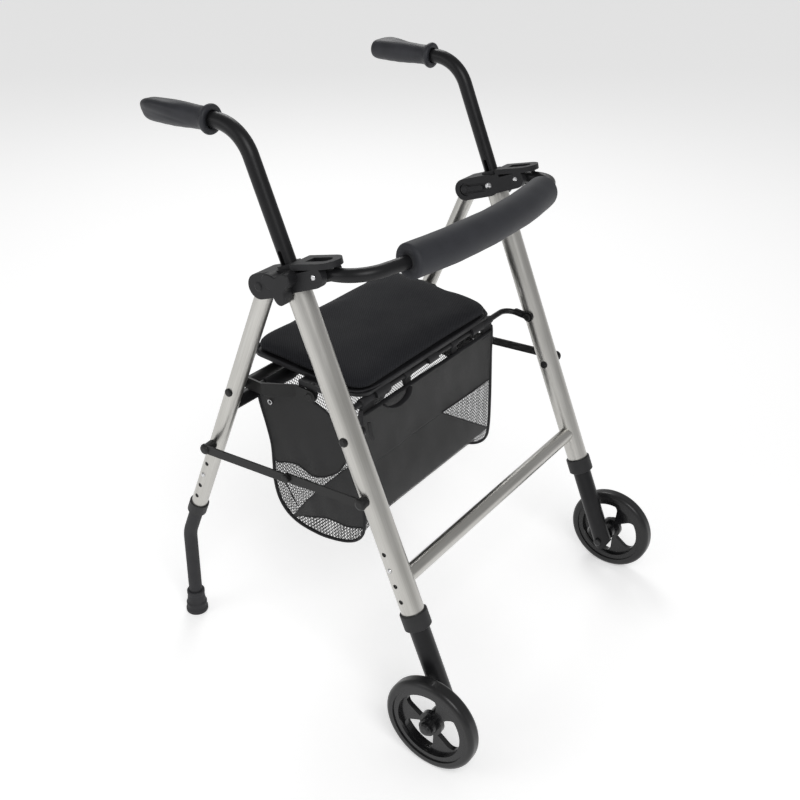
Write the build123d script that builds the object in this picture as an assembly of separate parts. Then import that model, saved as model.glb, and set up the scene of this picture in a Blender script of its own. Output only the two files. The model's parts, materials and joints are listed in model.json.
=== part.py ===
"""Folding walker with a seat: two front wheels, two rear rubber feet, a padded
backrest bar, height-adjusting handles and legs, and a fabric basket.

All sizes are in millimetres.  +Z is up, the walker's front (its wheels) faces -Y
and X runs across it.  The origin is on the floor under the middle of its box.
"""

import os
from math import asin, atan2, cos, pi, radians, sin

from build123d import *

os.makedirs("parts", exist_ok=True)

# ---- driving sizes --------------------------------------------------------------
WHEEL_D = 150.0  # six-inch wheels
WHEEL_W = 24.0
AXLE_Y = -236.3
LEG_X = 257.0  # each leg's centre plane
HOLE_PITCH = 25.4  # one inch between height settings

FRONT_LEAN = 23.8  # degrees from upright, top to the rear
FRONT_OD = 35.0
FRONT_WALL = 2.0
REAR_LEAN = 21.8  # degrees from upright, top to the front
REAR_OD = 26.0
REAR_WALL = 1.8
HANDLE_OD = 22.2
HANDLE_WALL = 2.0
CROSS_OD = 24.5
REAR_CROSS_OD = 22.0

RUN = 0.05  # radial clearance of a running or sliding fit
SIDE = 0.3  # side clearance between neighbours that move, and around soft parts

# stations along the front tube, measured up from the wheel axle
S_COLLAR_TOP = 162.0
S_HOLE = 185.2  # lowest height hole
S_CROSS = 211.7
S_LEG_TOP = 305.0
S_STAY = 345.4
S_SEAT = 435.0
S_HANDLE_END = 520.0
S_CLAMP = 666.0
S_BEND = 873.0  # where the handle's two straights would meet

# stations down the rear tube, measured from its top pivot
T_ROD = 205.0
T_CROSS = 238.0
T_STAY = 318.0
T_LEG_TOP = 348.0
T_HOLE = 362.6  # highest height hole
T_COLLAR = 461.0
T_BEND = 540.0

PIVOT_V = 49.0  # rear pivot, behind the front tube's axis
PIVOT_S = 3.0  # and above the clamp bolt
BACK_V = -52.6  # backrest pivot, ahead of the front tube's axis
BACK_S = -1.0
BRACKET_R = 18.0
BRACKET_HALF = 21.0
LOOP_DROP = 9.0  # degrees, the bracket's front loop dips from square to the tube

GRIP_L = 119.0
GRIP_TILT = 1.9  # degrees, the grip's rear end lower
HANDLE_BEND_R = 62.0

BACK_TILT = 7.4  # degrees, the backrest bar rising to the front
BACK_REACH = 100.0
BACK_OD = 19.0
FOAM_OD = 50.0
FOAM_HALF = 182.0

SEAT_TUBE_Y = -18.0
SEAT_TUBE_Z = WHEEL_D / 2 + 402.0
SEAT_TUBE_OD = 9.5  # a solid bent rod
SEAT_W = 376.0
SEAT_D = 222.0
SEAT_RISE = 3.5  # degrees, the seat rising to the rear
BAR_Y = 57.5  # pivot between the seat and its side bars
BAR_Z = WHEEL_D / 2 + 397.5
BAR_X = 199.8  # inner face of the side bar at the seat

STAY_MID_Y = 36.4
STAY_MID_Z = WHEEL_D / 2 + 307.5
STAY_W = 14.0
STAY_T = 3.0

BAG_HALF = 182.0
BAG_WALL = 2.0

# ---- frames ---------------------------------------------------------------------
WHEEL_R = WHEEL_D / 2
fs, fc = sin(radians(FRONT_LEAN)), cos(radians(FRONT_LEAN))
rs, rc = sin(radians(REAR_LEAN)), cos(radians(REAR_LEAN))
# the front tube's own frame: z runs up the tube, y runs to the rear across it
FRONT = Plane(origin=(0, AXLE_Y, WHEEL_R), x_dir=(1, 0, 0), z_dir=(0, fs, fc))


def front_yz(s, v=0.0):
    """Y and Z of the point s up the front tube and v behind its axis."""
    return AXLE_Y + s * fs + v * fc, WHEEL_R + s * fc - v * fs


PIVOT = front_yz(S_CLAMP + PIVOT_S, PIVOT_V)
BACK = front_yz(S_CLAMP + BACK_S, BACK_V)
# the rear tube's own frame: z runs down the tube
REAR = Plane(origin=(0, PIVOT[0], PIVOT[1]), x_dir=(1, 0, 0), z_dir=(0, rs, -rc))


def rear_yz(t):
    """Y and Z of the point t down the rear tube's axis."""
    return PIVOT[0] + t * rs, PIVOT[1] - t * rc


# ---- helpers --------------------------------------------------------------------
LOW = (Align.CENTER, Align.CENTER, Align.MIN)


def rod(r, z0, z1, x=0.0, y=0.0):
    """Solid cylinder along Z."""
    return Pos(x, y, z0) * Cylinder(r, z1 - z0, align=LOW)


def pipe(r, r_in, z0, z1, x=0.0, y=0.0):
    """Hollow cylinder along Z."""
    return rod(r, z0, z1, x, y) - rod(r_in, z0, z1, x, y)


def xrod(r, x0, x1, y, z):
    """Solid cylinder along X."""
    return Pos(x0, y, z) * Rot(0, 90, 0) * Cylinder(r, x1 - x0, align=LOW)


def block(x0, x1, y0, y1, z0, z1):
    """Box between two corners."""
    return Pos((x0 + x1) / 2, (y0 + y1) / 2, (z0 + z1) / 2) * Box(
        x1 - x0, y1 - y0, z1 - z0
    )


def turned(points, y, z):
    """Solid of revolution about X from (x, radius) points, centred on (y, z)."""
    x_first, x_last = points[0][0], points[-1][0]
    outline = [(x_first, 0)] + points + [(x_last, 0)]
    return Pos(0, y, z) * revolve(make_face(Polyline(*outline, close=True)), Axis.X)


def plate(x0, x1, outline):
    """Plate from x0 to x1 with a closed outline of (y, z) points."""
    face = make_face(Polyline(*[(x0, y, z) for y, z in outline], close=True))
    return extrude(face, amount=x1 - x0, dir=(1, 0, 0))


def link(x0, x1, a, b, r_a, r_b):
    """Flat link with rounded ends about the (y, z) points a and b."""
    ang = atan2(b[1] - a[1], b[0] - a[0])
    ny, nz = -sin(ang), cos(ang)
    r = min(r_a, r_b)
    web = plate(
        x0,
        x1,
        [
            (a[0] + ny * r, a[1] + nz * r),
            (b[0] + ny * r, b[1] + nz * r),
            (b[0] - ny * r, b[1] - nz * r),
            (a[0] - ny * r, a[1] - nz * r),
        ],
    )
    return web + xrod(r_a, x0, x1, *a) + xrod(r_b, x0, x1, *b)


def along(path, r):
    """Round bar swept along a path."""
    start = Plane(origin=path @ 0, z_dir=path % 0)
    return sweep(start * Circle(r), path=path)


parts = {}


def both(name, left):
    """Keep a left piece and its mirror image on the right."""
    parts[name + "_left"] = left
    parts[name + "_right"] = mirror(left, about=Plane.YZ)


# ---- front tubes, collars and crossbar --------------------------------------------
front_r = FRONT_OD / 2
front_bore = front_r - FRONT_WALL
leg_r = front_bore - RUN
s_tube_low = S_COLLAR_TOP - 21
s_tube_top = S_CLAMP + 6
front_holes = [S_HOLE + i * HOLE_PITCH for i in range(4)]
s_button = front_holes[2]

tube = pipe(front_r, front_bore, s_tube_low, s_tube_top, LEG_X)
for s in front_holes:
    tube -= xrod(3.6, LEG_X, LEG_X + front_r + 1, 0, s)
for s, r in ((S_STAY, 4.0), (S_SEAT, 4.0), (S_CLAMP, 3.0)):
    tube -= xrod(r + RUN, LEG_X - front_r - 1, LEG_X + front_r + 1, 0, s)
both("front_tube", FRONT.location * tube)

collar_r = front_r + 3.2
collar = pipe(collar_r, front_r + RUN, S_COLLAR_TOP - 26, S_COLLAR_TOP, LEG_X)
collar += pipe(collar_r, front_bore, S_COLLAR_TOP - 26, s_tube_low - RUN, LEG_X)
collar = chamfer(collar.edges().filter_by(GeomType.CIRCLE).group_by(SortBy.LENGTH)[-1], 1.2)
both("front_collar", FRONT.location * collar)

cross_y, cross_z = front_yz(S_CROSS)
bar = xrod(CROSS_OD / 2, -LEG_X, LEG_X, cross_y, cross_z)
bar -= xrod(CROSS_OD / 2 - 1.8, -LEG_X, LEG_X, cross_y, cross_z)
for side in (-1, 1):
    bar -= FRONT.location * rod(front_r + RUN, S_CROSS - 60, S_CROSS + 60, side * LEG_X)
parts["front_crossbar"] = bar

# ---- top brackets ------------------------------------------------------------------
pv, ps = PIVOT_V, S_CLAMP + PIVOT_S
bv, bs = BACK_V, S_CLAMP + BACK_S
half = BRACKET_HALF
rear_r = REAR_OD / 2
fork_half = rear_r + SIDE
back_half = BACK_OD / 2 + SIDE
x_in, x_out = LEG_X - half, LEG_X + half


def shell_line(x0, x1, grow=0.0):
    """Bracket outline: a long body round the rear pivot, tube and backrest pivot."""
    body = link(x0, x1, (0, S_CLAMP), (pv, ps), BRACKET_R + grow, BRACKET_R + grow)
    return body + link(x0, x1, (0, S_CLAMP), (bv, bs), BRACKET_R + grow, 15.0 + grow)


bracket = shell_line(x_in, x_out)
# loop over the backrest bar, closed at its tip and open in the middle
loop_z0 = bs + back_half
loop_z1 = S_CLAMP + 17
tip_v = bv - 12
loop = block(x_in, x_out, tip_v, -18, loop_z0, loop_z1)
loop += rod(half, loop_z0, loop_z1, LEG_X, tip_v)
loop -= block(LEG_X - 9, LEG_X + 9, tip_v, -36, loop_z0, loop_z1)
loop -= rod(9, loop_z0, loop_z1, LEG_X, tip_v)
# its front end leans down towards the bar, turning about a point above the bar's pivot
loop = Pos(0, bv, loop_z0) * Rot(LOOP_DROP, 0, 0) * Pos(0, -bv, -loop_z0) * loop
# the body stops at the loop's underside ahead of the tube
bracket -= block(x_in, x_out, bv - 40, -24, loop_z0, loop_z1 + 20)
# neck that carries the handle
bracket += rod(16.5, S_CLAMP, S_CLAMP + 22, LEG_X)
bracket -= block(x_in - 1, x_out + 1, -120, 120, S_CLAMP + 22, S_CLAMP + 60)
# room for the backrest bar between the front cheeks, open below and ahead
bracket -= block(
    LEG_X - back_half, LEG_X + back_half, bv - 60, -front_r - 3, bs - 60, loop_z0
)
bracket += loop
# room for the rear tube between the rear cheeks, open below and behind
reach = rear_r + 1.3
bracket -= xrod(reach, LEG_X - fork_half, LEG_X + fork_half, pv, ps)
bracket -= plate(
    LEG_X - fork_half,
    LEG_X + fork_half,
    [
        (pv - reach, ps),
        (pv + reach * 0.70, ps + reach * 0.714),
        (pv + reach * 0.70 + 40, ps + reach * 0.714 - 40),
        (pv + reach * 0.70 + 40, ps - 60),
        (pv - reach, ps - 60),
    ],
)
# socket for the front tube, with a spigot inside it that guides the handle
handle_r = HANDLE_OD / 2
bracket -= rod(front_r + RUN, S_CLAMP - 60, s_tube_top + RUN, LEG_X)
bracket += rod(front_bore - RUN, S_CLAMP - 44, s_tube_top + 1, LEG_X)
bracket -= rod(handle_r + RUN, S_CLAMP - 60, S_CLAMP + 60, LEG_X)
# long shallow pocket with a raised rim on the inner cheek
pocket = link(x_in - 1, x_in + 2.5, (12, S_CLAMP), (pv - 2, ps), 7.5, 11.0)
bracket -= pocket - link(x_in - 1, x_in + 2.5, (16, S_CLAMP), (pv - 4, ps), 4.0, 6.5)
for (v, s), r in (((0, S_CLAMP), 3.0), ((pv, ps), 4.0), ((bv, bs), 2.5)):
    bracket -= xrod(r + RUN, x_in - 2, x_out + 2, v, s)
both("top_bracket", FRONT.location * bracket)

pin = turned(
    [
        (x_in - 1.5, 4.6),
        (x_in - 0.4, 6.5),
        (x_in, 6.5),
        (x_in, 4.0),
        (x_out, 4.0),
        (x_out, 6.5),
        (x_out + 0.4, 6.5),
        (x_out + 1.5, 4.6),
    ],
    pv,
    ps,
)
both("rear_pivot_pin", FRONT.location * pin)
rivet = turned(
    [
        (x_in - 1.6, 1.6),
        (x_in - 0.9, 3.2),
        (x_in, 3.8),
        (x_in, 2.5),
        (x_out, 2.5),
        (x_out, 3.8),
        (x_out + 0.9, 3.2),
        (x_out + 1.6, 1.6),
    ],
    bv,
    bs,
)
both("backrest_rivet", FRONT.location * rivet)

# ---- clamp bolt and three-lobed knob --------------------------------------------------
bolt = turned(
    [
        (x_in - 3.6, 1.8),
        (x_in - 2.6, 4.2),
        (x_in, 5.6),
        (x_in, 3.0),
        (x_out + 12.0, 3.0),
    ],
    0,
    S_CLAMP,
)
both("clamp_bolt", FRONT.location * bolt)

knob_x0 = x_out + SIDE
knob_t = 16.0
lobe_line = []
for i in range(36):
    ang = radians(10 * i)
    r = 19.5 + 6.8 * cos(3 * (ang - radians(100)))
    lobe_line.append((r * cos(ang), r * sin(ang)))
knob = extrude(make_face(Spline(*lobe_line, periodic=True)), amount=knob_t)
knob = chamfer(knob.edges().group_by(Axis.Z)[-1], 1.5)
# turn the flat knob to face outwards, its lobes forward (-y) and up (+z)
facing = Plane(origin=(knob_x0, 0, S_CLAMP), x_dir=(0, -1, 0), z_dir=(1, 0, 0))
knob = facing.location * knob
knob -= xrod(3.0 + RUN, knob_x0 - 1, x_out + 12.5, 0, S_CLAMP)
both("clamp_knob", FRONT.location * knob)

# ---- handles ------------------------------------------------------------------------
gs, gc = sin(radians(GRIP_TILT)), cos(radians(GRIP_TILT))
bend_y, bend_z = front_yz(S_BEND)
grip_y0 = bend_y + 47.5 * gc
grip_z0 = bend_z - 47.5 * gs
tube_end = 47.5 + GRIP_L - 5
low_y, low_z = front_yz(S_HANDLE_END)
handle_path = FilletPolyline(
    (LEG_X, low_y, low_z),
    (LEG_X, bend_y, bend_z),
    (LEG_X, bend_y + tube_end * gc, bend_z - tube_end * gs),
    radius=HANDLE_BEND_R,
)
handle = along(handle_path, handle_r) - along(handle_path, handle_r - HANDLE_WALL)
HANDLE_UP = 3 * HOLE_PITCH
HANDLE_DOWN = 1.5 * HOLE_PITCH
slot = link(
    LEG_X - 20, LEG_X + 20, (0, S_CLAMP - HANDLE_UP), (0, S_CLAMP + HANDLE_DOWN), 3.2, 3.2
)
both("handle_tube", handle - FRONT.location * slot)

GRIP = Plane(
    origin=(LEG_X, grip_y0, grip_z0), x_dir=(1, 0, 0), z_dir=(0, gc, -gs)
)
grip_line = [
    (19.0, 0),
    (20.0, 1.5),
    (20.0, 5.0),
    (17.0, 8.5),
    (15.2, 15.0),
    (15.8, 26.0),
    (17.2, 48.0),
    (17.6, 64.0),
    (16.4, 82.0),
    (15.6, 94.0),
    (16.6, 106.0),
    (15.0, GRIP_L - 3),
    (10.0, GRIP_L),
]
outer = Polyline((19.0, 0, 0), (20.0, 0, 1.5), (20.0, 0, 5.0), (17.0, 0, 8.5))
swell = Spline(*[(r, 0, z) for r, z in grip_line[3:-2]])
tail = Polyline(
    *[(r, 0, z) for r, z in grip_line[-3:]], (0, 0, GRIP_L), (0, 0, 0), (19.0, 0, 0)
)
grip = revolve(make_face([outer, swell, tail]), Axis.Z)
# palm rest: a flat wing at the rear end that widens and lifts slightly
wing = Pos(3.0, -6.0, 99) * Box(44, 9, 34)
wing = fillet(wing.edges().filter_by(Axis.Y), 13)
wing = fillet(wing.faces().sort_by(Axis.Y)[0].edges(), 3)
grip += wing
for z in (30.0, 48.0, 66.0, 84.0):
    grip += Pos(0, 12.2, z) * Rot(0, 90, 0) * Cylinder(6.2, 13)
grip -= rod(handle_r + RUN, -1, GRIP_L - 5 + RUN)
both("grip", GRIP.location * grip)

# ---- front legs and wheels ---------------------------------------------------------------
leg = pipe(leg_r, leg_r - 2.0, 0, S_LEG_TOP, LEG_X)
end = rod(leg_r, -leg_r, 16, LEG_X)
leg += end & (
    xrod(leg_r, LEG_X - leg_r, LEG_X + leg_r, 0, 0)
    + block(LEG_X - leg_r, LEG_X + leg_r, -leg_r, leg_r, 0, 16)
)
leg -= xrod(4.0 + RUN, LEG_X - 30, LEG_X + 30, 0, 0)
leg -= xrod(3.6, LEG_X, LEG_X + 30, 0, s_button)
both("front_leg", FRONT.location * leg)

wheel_x = LEG_X + leg_r + 0.15 + WHEEL_W
hub_x0 = LEG_X + leg_r + 2.0
hub_x1 = wheel_x + 15.0
axle = turned(
    [
        (LEG_X - leg_r - 5.0, 5.0),
        (LEG_X - leg_r - 4.0, 6.5),
        (LEG_X - leg_r, 6.5),
        (LEG_X - leg_r, 4.0),
        (LEG_X + leg_r, 4.0),
        (LEG_X + leg_r, 8.0),
        (hub_x0 - RUN, 8.0),
        (hub_x0 - RUN, 4.0),
        (hub_x1 + SIDE, 4.0),
        (hub_x1 + SIDE, 10.0),
        (hub_x1 + 3.5, 10.0),
        (hub_x1 + 6.0, 8.0),
        (hub_x1 + 7.0, 5.0),
    ],
    AXLE_Y,
    WHEEL_R,
)
both("axle", axle)

tread = 13.0
rim_r = WHEEL_R - tread
tyre_half = WHEEL_W / 2
tyre = xrod(WHEEL_R, wheel_x - tyre_half, wheel_x + tyre_half, 0, 0)
tyre = fillet(tyre.edges().filter_by(GeomType.CIRCLE), tyre_half * 0.62)
tyre -= xrod(rim_r, wheel_x - 30, wheel_x + 30, 0, 0)
both("tyre", Pos(0, AXLE_Y, WHEEL_R) * tyre)

hub = xrod(rim_r - 0.02, wheel_x - 10, wheel_x + 10, 0, 0)
hub -= xrod(rim_r - 9.0, wheel_x - 11, wheel_x + 11, 0, 0)
hub += xrod(rim_r - 8.0, wheel_x - 4, wheel_x + 4, 0, 0)
# three wide openings leave three webs that flare out to the rim
open_in, open_out = 19.0, rim_r - 10.5


def on_wheel(r, deg):
    """Point of the wheel's disc at a radius and an angle."""
    return (wheel_x - 8, r * cos(radians(deg)), r * sin(radians(deg)))


for mid in (62.0, 182.0, 302.0):
    inner = ThreePointArc(on_wheel(open_in, mid - 48), on_wheel(open_in, mid), on_wheel(open_in, mid + 48))
    outer = ThreePointArc(on_wheel(open_out, mid + 38), on_wheel(open_out, mid), on_wheel(open_out, mid - 38))
    sides = [Line(inner @ 1, outer @ 0), Line(outer @ 1, inner @ 0)]
    hole = extrude(make_face([inner, sides[0], outer, sides[1]]), amount=16, dir=(1, 0, 0))
    corners = hole.edges().filter_by(Axis.X)
    far_out = corners.sort_by(lambda e: e.center().Y ** 2 + e.center().Z ** 2)
    hole = fillet(far_out[2:], 12.0)
    hub -= hole
hub += xrod(13.0, hub_x0, hub_x1, 0, 0)
hub -= xrod(4.0 + RUN, hub_x0 - 1, hub_x1 + 1, 0, 0)
both("wheel", Pos(0, AXLE_Y, WHEEL_R) * hub)


def snap_button(r_bore, r_out, z):
    """Round-nosed catch that looks out of the hole at height z in a leg."""
    x0 = LEG_X + (r_bore**2 - 25.0) ** 0.5 - RUN
    x1 = LEG_X + r_out
    return turned(
        [
            (x0 - 1.5, 5.0),
            (x0, 5.0),
            (x0, 3.5),
            (x1 + 0.8, 3.5),
            (x1 + 2.0, 2.6),
            (x1 + 2.6, 1.2),
        ],
        0,
        z,
    )


both("front_button", FRONT.location * snap_button(leg_r - 2.0, front_r, s_button))

# ---- rear tubes, collars, crossbar and rod -----------------------------------------------
rear_bore = rear_r - REAR_WALL
rear_leg_r = rear_bore - RUN
t_low = T_COLLAR + 18
rear_holes = [T_HOLE + i * HOLE_PITCH for i in range(4)]
t_button = rear_holes[1]
tube = pipe(rear_r, rear_bore, 0, t_low, LEG_X)
end = rod(rear_r, -rear_r, 24, LEG_X)
tube += end & (
    xrod(rear_r, LEG_X - rear_r, LEG_X + rear_r, 0, 0)
    + block(LEG_X - rear_r, LEG_X + rear_r, -rear_r, rear_r, 0, 24)
)
tube -= xrod(4.0 + RUN, LEG_X - 30, LEG_X + 30, 0, 0)
for t in rear_holes:
    tube -= xrod(3.6, LEG_X, LEG_X + rear_r + 1, 0, t)
for t in (T_ROD, T_STAY):
    tube -= xrod(4.0 + RUN, LEG_X - 30, LEG_X + 30, 0, t)
both("rear_tube", REAR.location * tube)

collar_r2 = rear_r + 2.6
collar = pipe(collar_r2, rear_r + RUN, T_COLLAR, T_COLLAR + 22, LEG_X)
collar += pipe(collar_r2, rear_bore, t_low + RUN, T_COLLAR + 22, LEG_X)
collar = chamfer(collar.edges().filter_by(GeomType.CIRCLE).group_by(SortBy.LENGTH)[-1], 1.0)
both("rear_collar", REAR.location * collar)

rc_y, rc_z = rear_yz(T_CROSS)
bar = xrod(REAR_CROSS_OD / 2, -LEG_X, LEG_X, rc_y, rc_z)
bar -= xrod(REAR_CROSS_OD / 2 - 1.6, -LEG_X, LEG_X, rc_y, rc_z)
for side in (-1, 1):
    bar -= REAR.location * rod(rear_r + RUN, T_CROSS - 60, T_CROSS + 60, side * LEG_X)
parts["rear_crossbar"] = bar

rod_y, rod_z = rear_yz(T_ROD)
rod_r = 8.0
rod_step = 228.0
rod_end = LEG_X + rear_r
half_rod = [
    (0, rod_r),
    (rod_step, rod_r),
    (rod_step, 4.0),
    (rod_end, 4.0),
    (rod_end, 6.5),
    (rod_end + 2.4, 6.0),
    (rod_end + 3.6, 4.0),
]
half_piece = turned(half_rod, rod_y, rod_z)
parts["rear_rod"] = half_piece + mirror(half_piece, about=Plane.YZ)

# ---- rear legs and rubber feet --------------------------------------------------------------
top_y, top_z = rear_yz(T_LEG_TOP)
knee_y, knee_z = rear_yz(T_BEND)
rear_path = FilletPolyline(
    (LEG_X, top_y, top_z), (LEG_X, knee_y, knee_z), (LEG_X, knee_y, 9.0), radius=60
)
leg = along(rear_path, rear_leg_r) - along(rear_path, rear_leg_r - 1.8)
leg -= REAR.location * xrod(3.6, LEG_X, LEG_X + 30, 0, t_button)
both("rear_leg", leg)

tip_line = [
    (18.0, 0),
    (18.6, 1.5),
    (18.6, 6.0),
    (17.2, 9.0),
    (16.8, 13.0),
    (17.4, 15.0),
    (17.4, 18.0),
    (15.6, 20.5),
    (14.4, 34.0),
    (15.0, 37.0),
    (15.0, 42.0),
    (14.0, 43.5),
]
tip = revolve(
    make_face(Polyline((0, 0, 0), *[(r, 0, z) for r, z in tip_line], (0, 0, 43.5), close=True)),
    Axis.Z,
)
tip -= rod(rear_leg_r + 0.02, 9.0, 50)
tip -= pipe(11.5, 8.0, -1, 2.0)
both("foot_tip", Pos(LEG_X, knee_y, 0) * tip)
both("rear_button", REAR.location * snap_button(rear_leg_r - 1.8, rear_r, t_button))

# ---- folding stays on the outside ----------------------------------------------------------
stay_x = LEG_X + front_r + 6.4
rear_x = stay_x + STAY_T + 0.4
k_front = front_yz(S_STAY)
k_rear = rear_yz(T_STAY)
k_mid = (STAY_MID_Y, STAY_MID_Z)
front_pin = turned(
    [
        (LEG_X - front_r - 2.0, 5.5),
        (LEG_X - front_r, 6.5),
        (LEG_X - front_r, 4.0),
        (LEG_X + front_r, 4.0),
        (LEG_X + front_r, 8.0),
        (stay_x - SIDE, 8.0),
        (stay_x - SIDE, 4.0),
        (stay_x + STAY_T + SIDE, 4.0),
        (stay_x + STAY_T + SIDE, 9.0),
        (stay_x + STAY_T + 3.0, 8.0),
        (stay_x + STAY_T + 4.0, 5.0),
    ],
    *k_front,
)
both("front_stay_pin", front_pin)
rear_pin = turned(
    [
        (LEG_X - rear_r - 2.0, 5.5),
        (LEG_X - rear_r, 6.5),
        (LEG_X - rear_r, 4.0),
        (LEG_X + rear_r, 4.0),
        (LEG_X + rear_r, 8.0),
        (rear_x - SIDE, 7.0),
        (rear_x - SIDE, 4.0),
        (rear_x + STAY_T + SIDE, 4.0),
        (rear_x + STAY_T + SIDE, 8.0),
        (rear_x + STAY_T + 2.5, 7.0),
        (rear_x + STAY_T + 3.5, 4.0),
    ],
    *k_rear,
)
both("rear_stay_pin", rear_pin)
stay = link(stay_x, stay_x + STAY_T, k_front, k_mid, 8.5, STAY_W / 2)
stay -= xrod(4.0 + RUN, stay_x - 1, stay_x + STAY_T + 1, *k_front)
stay -= xrod(3.2, stay_x - 1, stay_x + STAY_T + 1, *k_mid)
both("front_stay", stay)
stay = link(rear_x, rear_x + STAY_T, k_rear, k_mid, 8.5, STAY_W / 2)
stay -= xrod(4.0 + RUN, rear_x - 1, rear_x + STAY_T + 1, *k_rear)
stay += turned([(rear_x, 6.0), (rear_x + STAY_T + 1.0, 6.0), (rear_x + STAY_T + 2.0, 4.0)], *k_mid)
both("rear_stay", stay)

# ---- seat front tube -------------------------------------------------------------------------
seat_r = SEAT_TUBE_OD / 2
eye_y, eye_z = front_yz(S_SEAT)
eye_x = LEG_X - front_r - 0.1
turn_x = eye_x - 3.4
path = FilletPolyline(
    (turn_x, eye_y + 12, eye_z),
    (turn_x, SEAT_TUBE_Y, SEAT_TUBE_Z),
    (-turn_x, SEAT_TUBE_Y, SEAT_TUBE_Z),
    (-turn_x, eye_y + 12, eye_z),
    radius=22,
)
seat_tube = along(path, seat_r)
for side in (-1, 1):
    x0, x1 = sorted((side * eye_x, side * (eye_x - 5)))
    seat_tube += link(x0, x1, (eye_y, eye_z), (eye_y + 24, eye_z + 2.5), 8.5, 5.6)
    seat_tube -= xrod(4.0 + RUN, x0 - 1, x1 + 1, eye_y, eye_z)
    seat_tube -= FRONT.location * rod(front_r + RUN, S_SEAT - 80, S_SEAT + 80, side * LEG_X)
parts["seat_front_tube"] = seat_tube

seat_bolt = turned(
    [
        (eye_x - 9.0, 4.5),
        (eye_x - 8.0, 6.2),
        (eye_x - 5.0, 6.2),
        (eye_x - 5.0, 4.0),
        (LEG_X + front_r, 4.0),
        (LEG_X + front_r, 7.0),
        (LEG_X + front_r + 2.4, 6.4),
        (LEG_X + front_r + 3.8, 4.0),
    ],
    eye_y,
    eye_z,
)
both("seat_tube_bolt", seat_bolt)

# ---- seat ------------------------------------------------------------------------------------
ss, sc = sin(radians(SEAT_RISE)), cos(radians(SEAT_RISE))
seat_y0 = SEAT_TUBE_Y - 4
seat_z0 = SEAT_TUBE_Z + seat_r + 2.85
SEAT = Plane(origin=(0, seat_y0, seat_z0), x_dir=(1, 0, 0), z_dir=(0, -ss, sc))
board_t = 5.0
lead = (Align.CENTER, Align.MIN, Align.MIN)
board = Box(SEAT_W - 8, SEAT_D - 6, board_t, align=lead)
board = fillet(board.edges().filter_by(Axis.Z), 26)
for y in (45.0, 95.0, 145.0):
    board += Pos(0, y, -5) * Box(SEAT_W - 70, 3, 6, align=lead)
for x in (-110.0, 0.0, 110.0):
    board += Pos(x, 28, -5) * Box(3, SEAT_D - 70, 6, align=lead)
board = SEAT.location * board
clip_bore = seat_r + RUN
for x, w in ((-132.0, 34.0), (0.0, 26.0), (132.0, 34.0)):
    hook = xrod(seat_r + 4.2, x - w / 2, x + w / 2, SEAT_TUBE_Y, SEAT_TUBE_Z)
    hook += block(x - w / 2, x + w / 2, seat_y0 + 1, SEAT_TUBE_Y + 16, SEAT_TUBE_Z + 3, seat_z0 + 2)
    hook -= xrod(clip_bore, x - w, x + w, SEAT_TUBE_Y, SEAT_TUBE_Z)
    clip_low = SEAT_TUBE_Z - 0.57 * seat_r
    hook -= block(x - w, x + w, SEAT_TUBE_Y - 20, SEAT_TUBE_Y + 20, SEAT_TUBE_Z - 30, clip_low)
    board += hook
tab_x = BAR_X - 0.6 - 4
for side in (-1, 1):
    x0, x1 = sorted((side * tab_x, side * (tab_x + 4)))
    tab = link(x0, x1, (BAR_Y, BAR_Z), (BAR_Y, BAR_Z + 12), 9.0, 9.0)
    tab += block(x0, x1, BAR_Y - 24, BAR_Y + 24, BAR_Z + 10, BAR_Z + 19)
    w0, w1 = sorted((side * (SEAT_W / 2 - 24), side * (tab_x + 4)))
    tab += block(w0, w1, BAR_Y - 24, BAR_Y + 24, BAR_Z + 12, BAR_Z + 19)
    tab -= xrod(3.2, x0 - 1, x1 + 1, BAR_Y, BAR_Z)
    board += tab
parts["seat_board"] = board

cushion_t = 28.0
cushion = Box(SEAT_W, SEAT_D, cushion_t, align=lead)
cushion = fillet(cushion.edges().filter_by(Axis.Z), 24)
crown = 1300.0
cushion &= Pos(0, SEAT_D / 2, cushion_t - crown) * Sphere(crown)
cushion = fillet(cushion.faces().sort_by(Axis.Z)[0].edges(), 3)
parts["seat_cushion"] = SEAT.location * (Pos(0, -3, board_t) * cushion)

# ---- side bars that carry the seat -------------------------------------------------------------
bar_t = 3.5
bar_out = rod_step + SIDE
joggle = 30.0
bar_h = 9.5
near = link(bar_out, bar_out + bar_t, (rod_y, rod_z), (rod_y - 28, rod_z - 1.4), bar_h, bar_h)
near &= block(0, 400, rod_y - 28, rod_y + 40, 0, 900)
far = link(BAR_X, BAR_X + bar_t, (BAR_Y, BAR_Z), (BAR_Y + 28, BAR_Z + 1.4), bar_h, bar_h)
far &= block(0, 400, BAR_Y - 40, BAR_Y + 28, 0, 900)
y_a, y_b = BAR_Y + 28, rod_y - 28
slant = Polyline(
    (BAR_X, y_a, 0),
    (BAR_X + bar_t, y_a, 0),
    (bar_out + bar_t, y_b, 0),
    (bar_out, y_b, 0),
    close=True,
)
mid = Pos(0, 0, BAR_Z - 20) * extrude(make_face(slant), amount=60, dir=(0, 0, 1))
mid &= link(0, 300, (rod_y, rod_z), (BAR_Y, BAR_Z), bar_h, bar_h)
side_bar = near + mid + far
side_bar -= xrod(4.0 + RUN, bar_out - 1, bar_out + bar_t + 1, rod_y, rod_z)
side_bar += turned([(BAR_X, 4.0), (BAR_X + bar_t, 7.0), (BAR_X + bar_t + 2, 5.0)], BAR_Y, BAR_Z)
both("side_bar", side_bar)

# ---- backrest ------------------------------------------------------------------------------------
ts, tc = sin(radians(BACK_TILT)), cos(radians(BACK_TILT))
# in the backrest's own plane: x across, y forward along the rising bar
REST = Plane(origin=(0, BACK[0], BACK[1]), x_dir=(-1, 0, 0), z_dir=(0, ts, tc))
lead_in = 22.0
rise = BACK_REACH - lead_in
corner_r = 50.0
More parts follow.
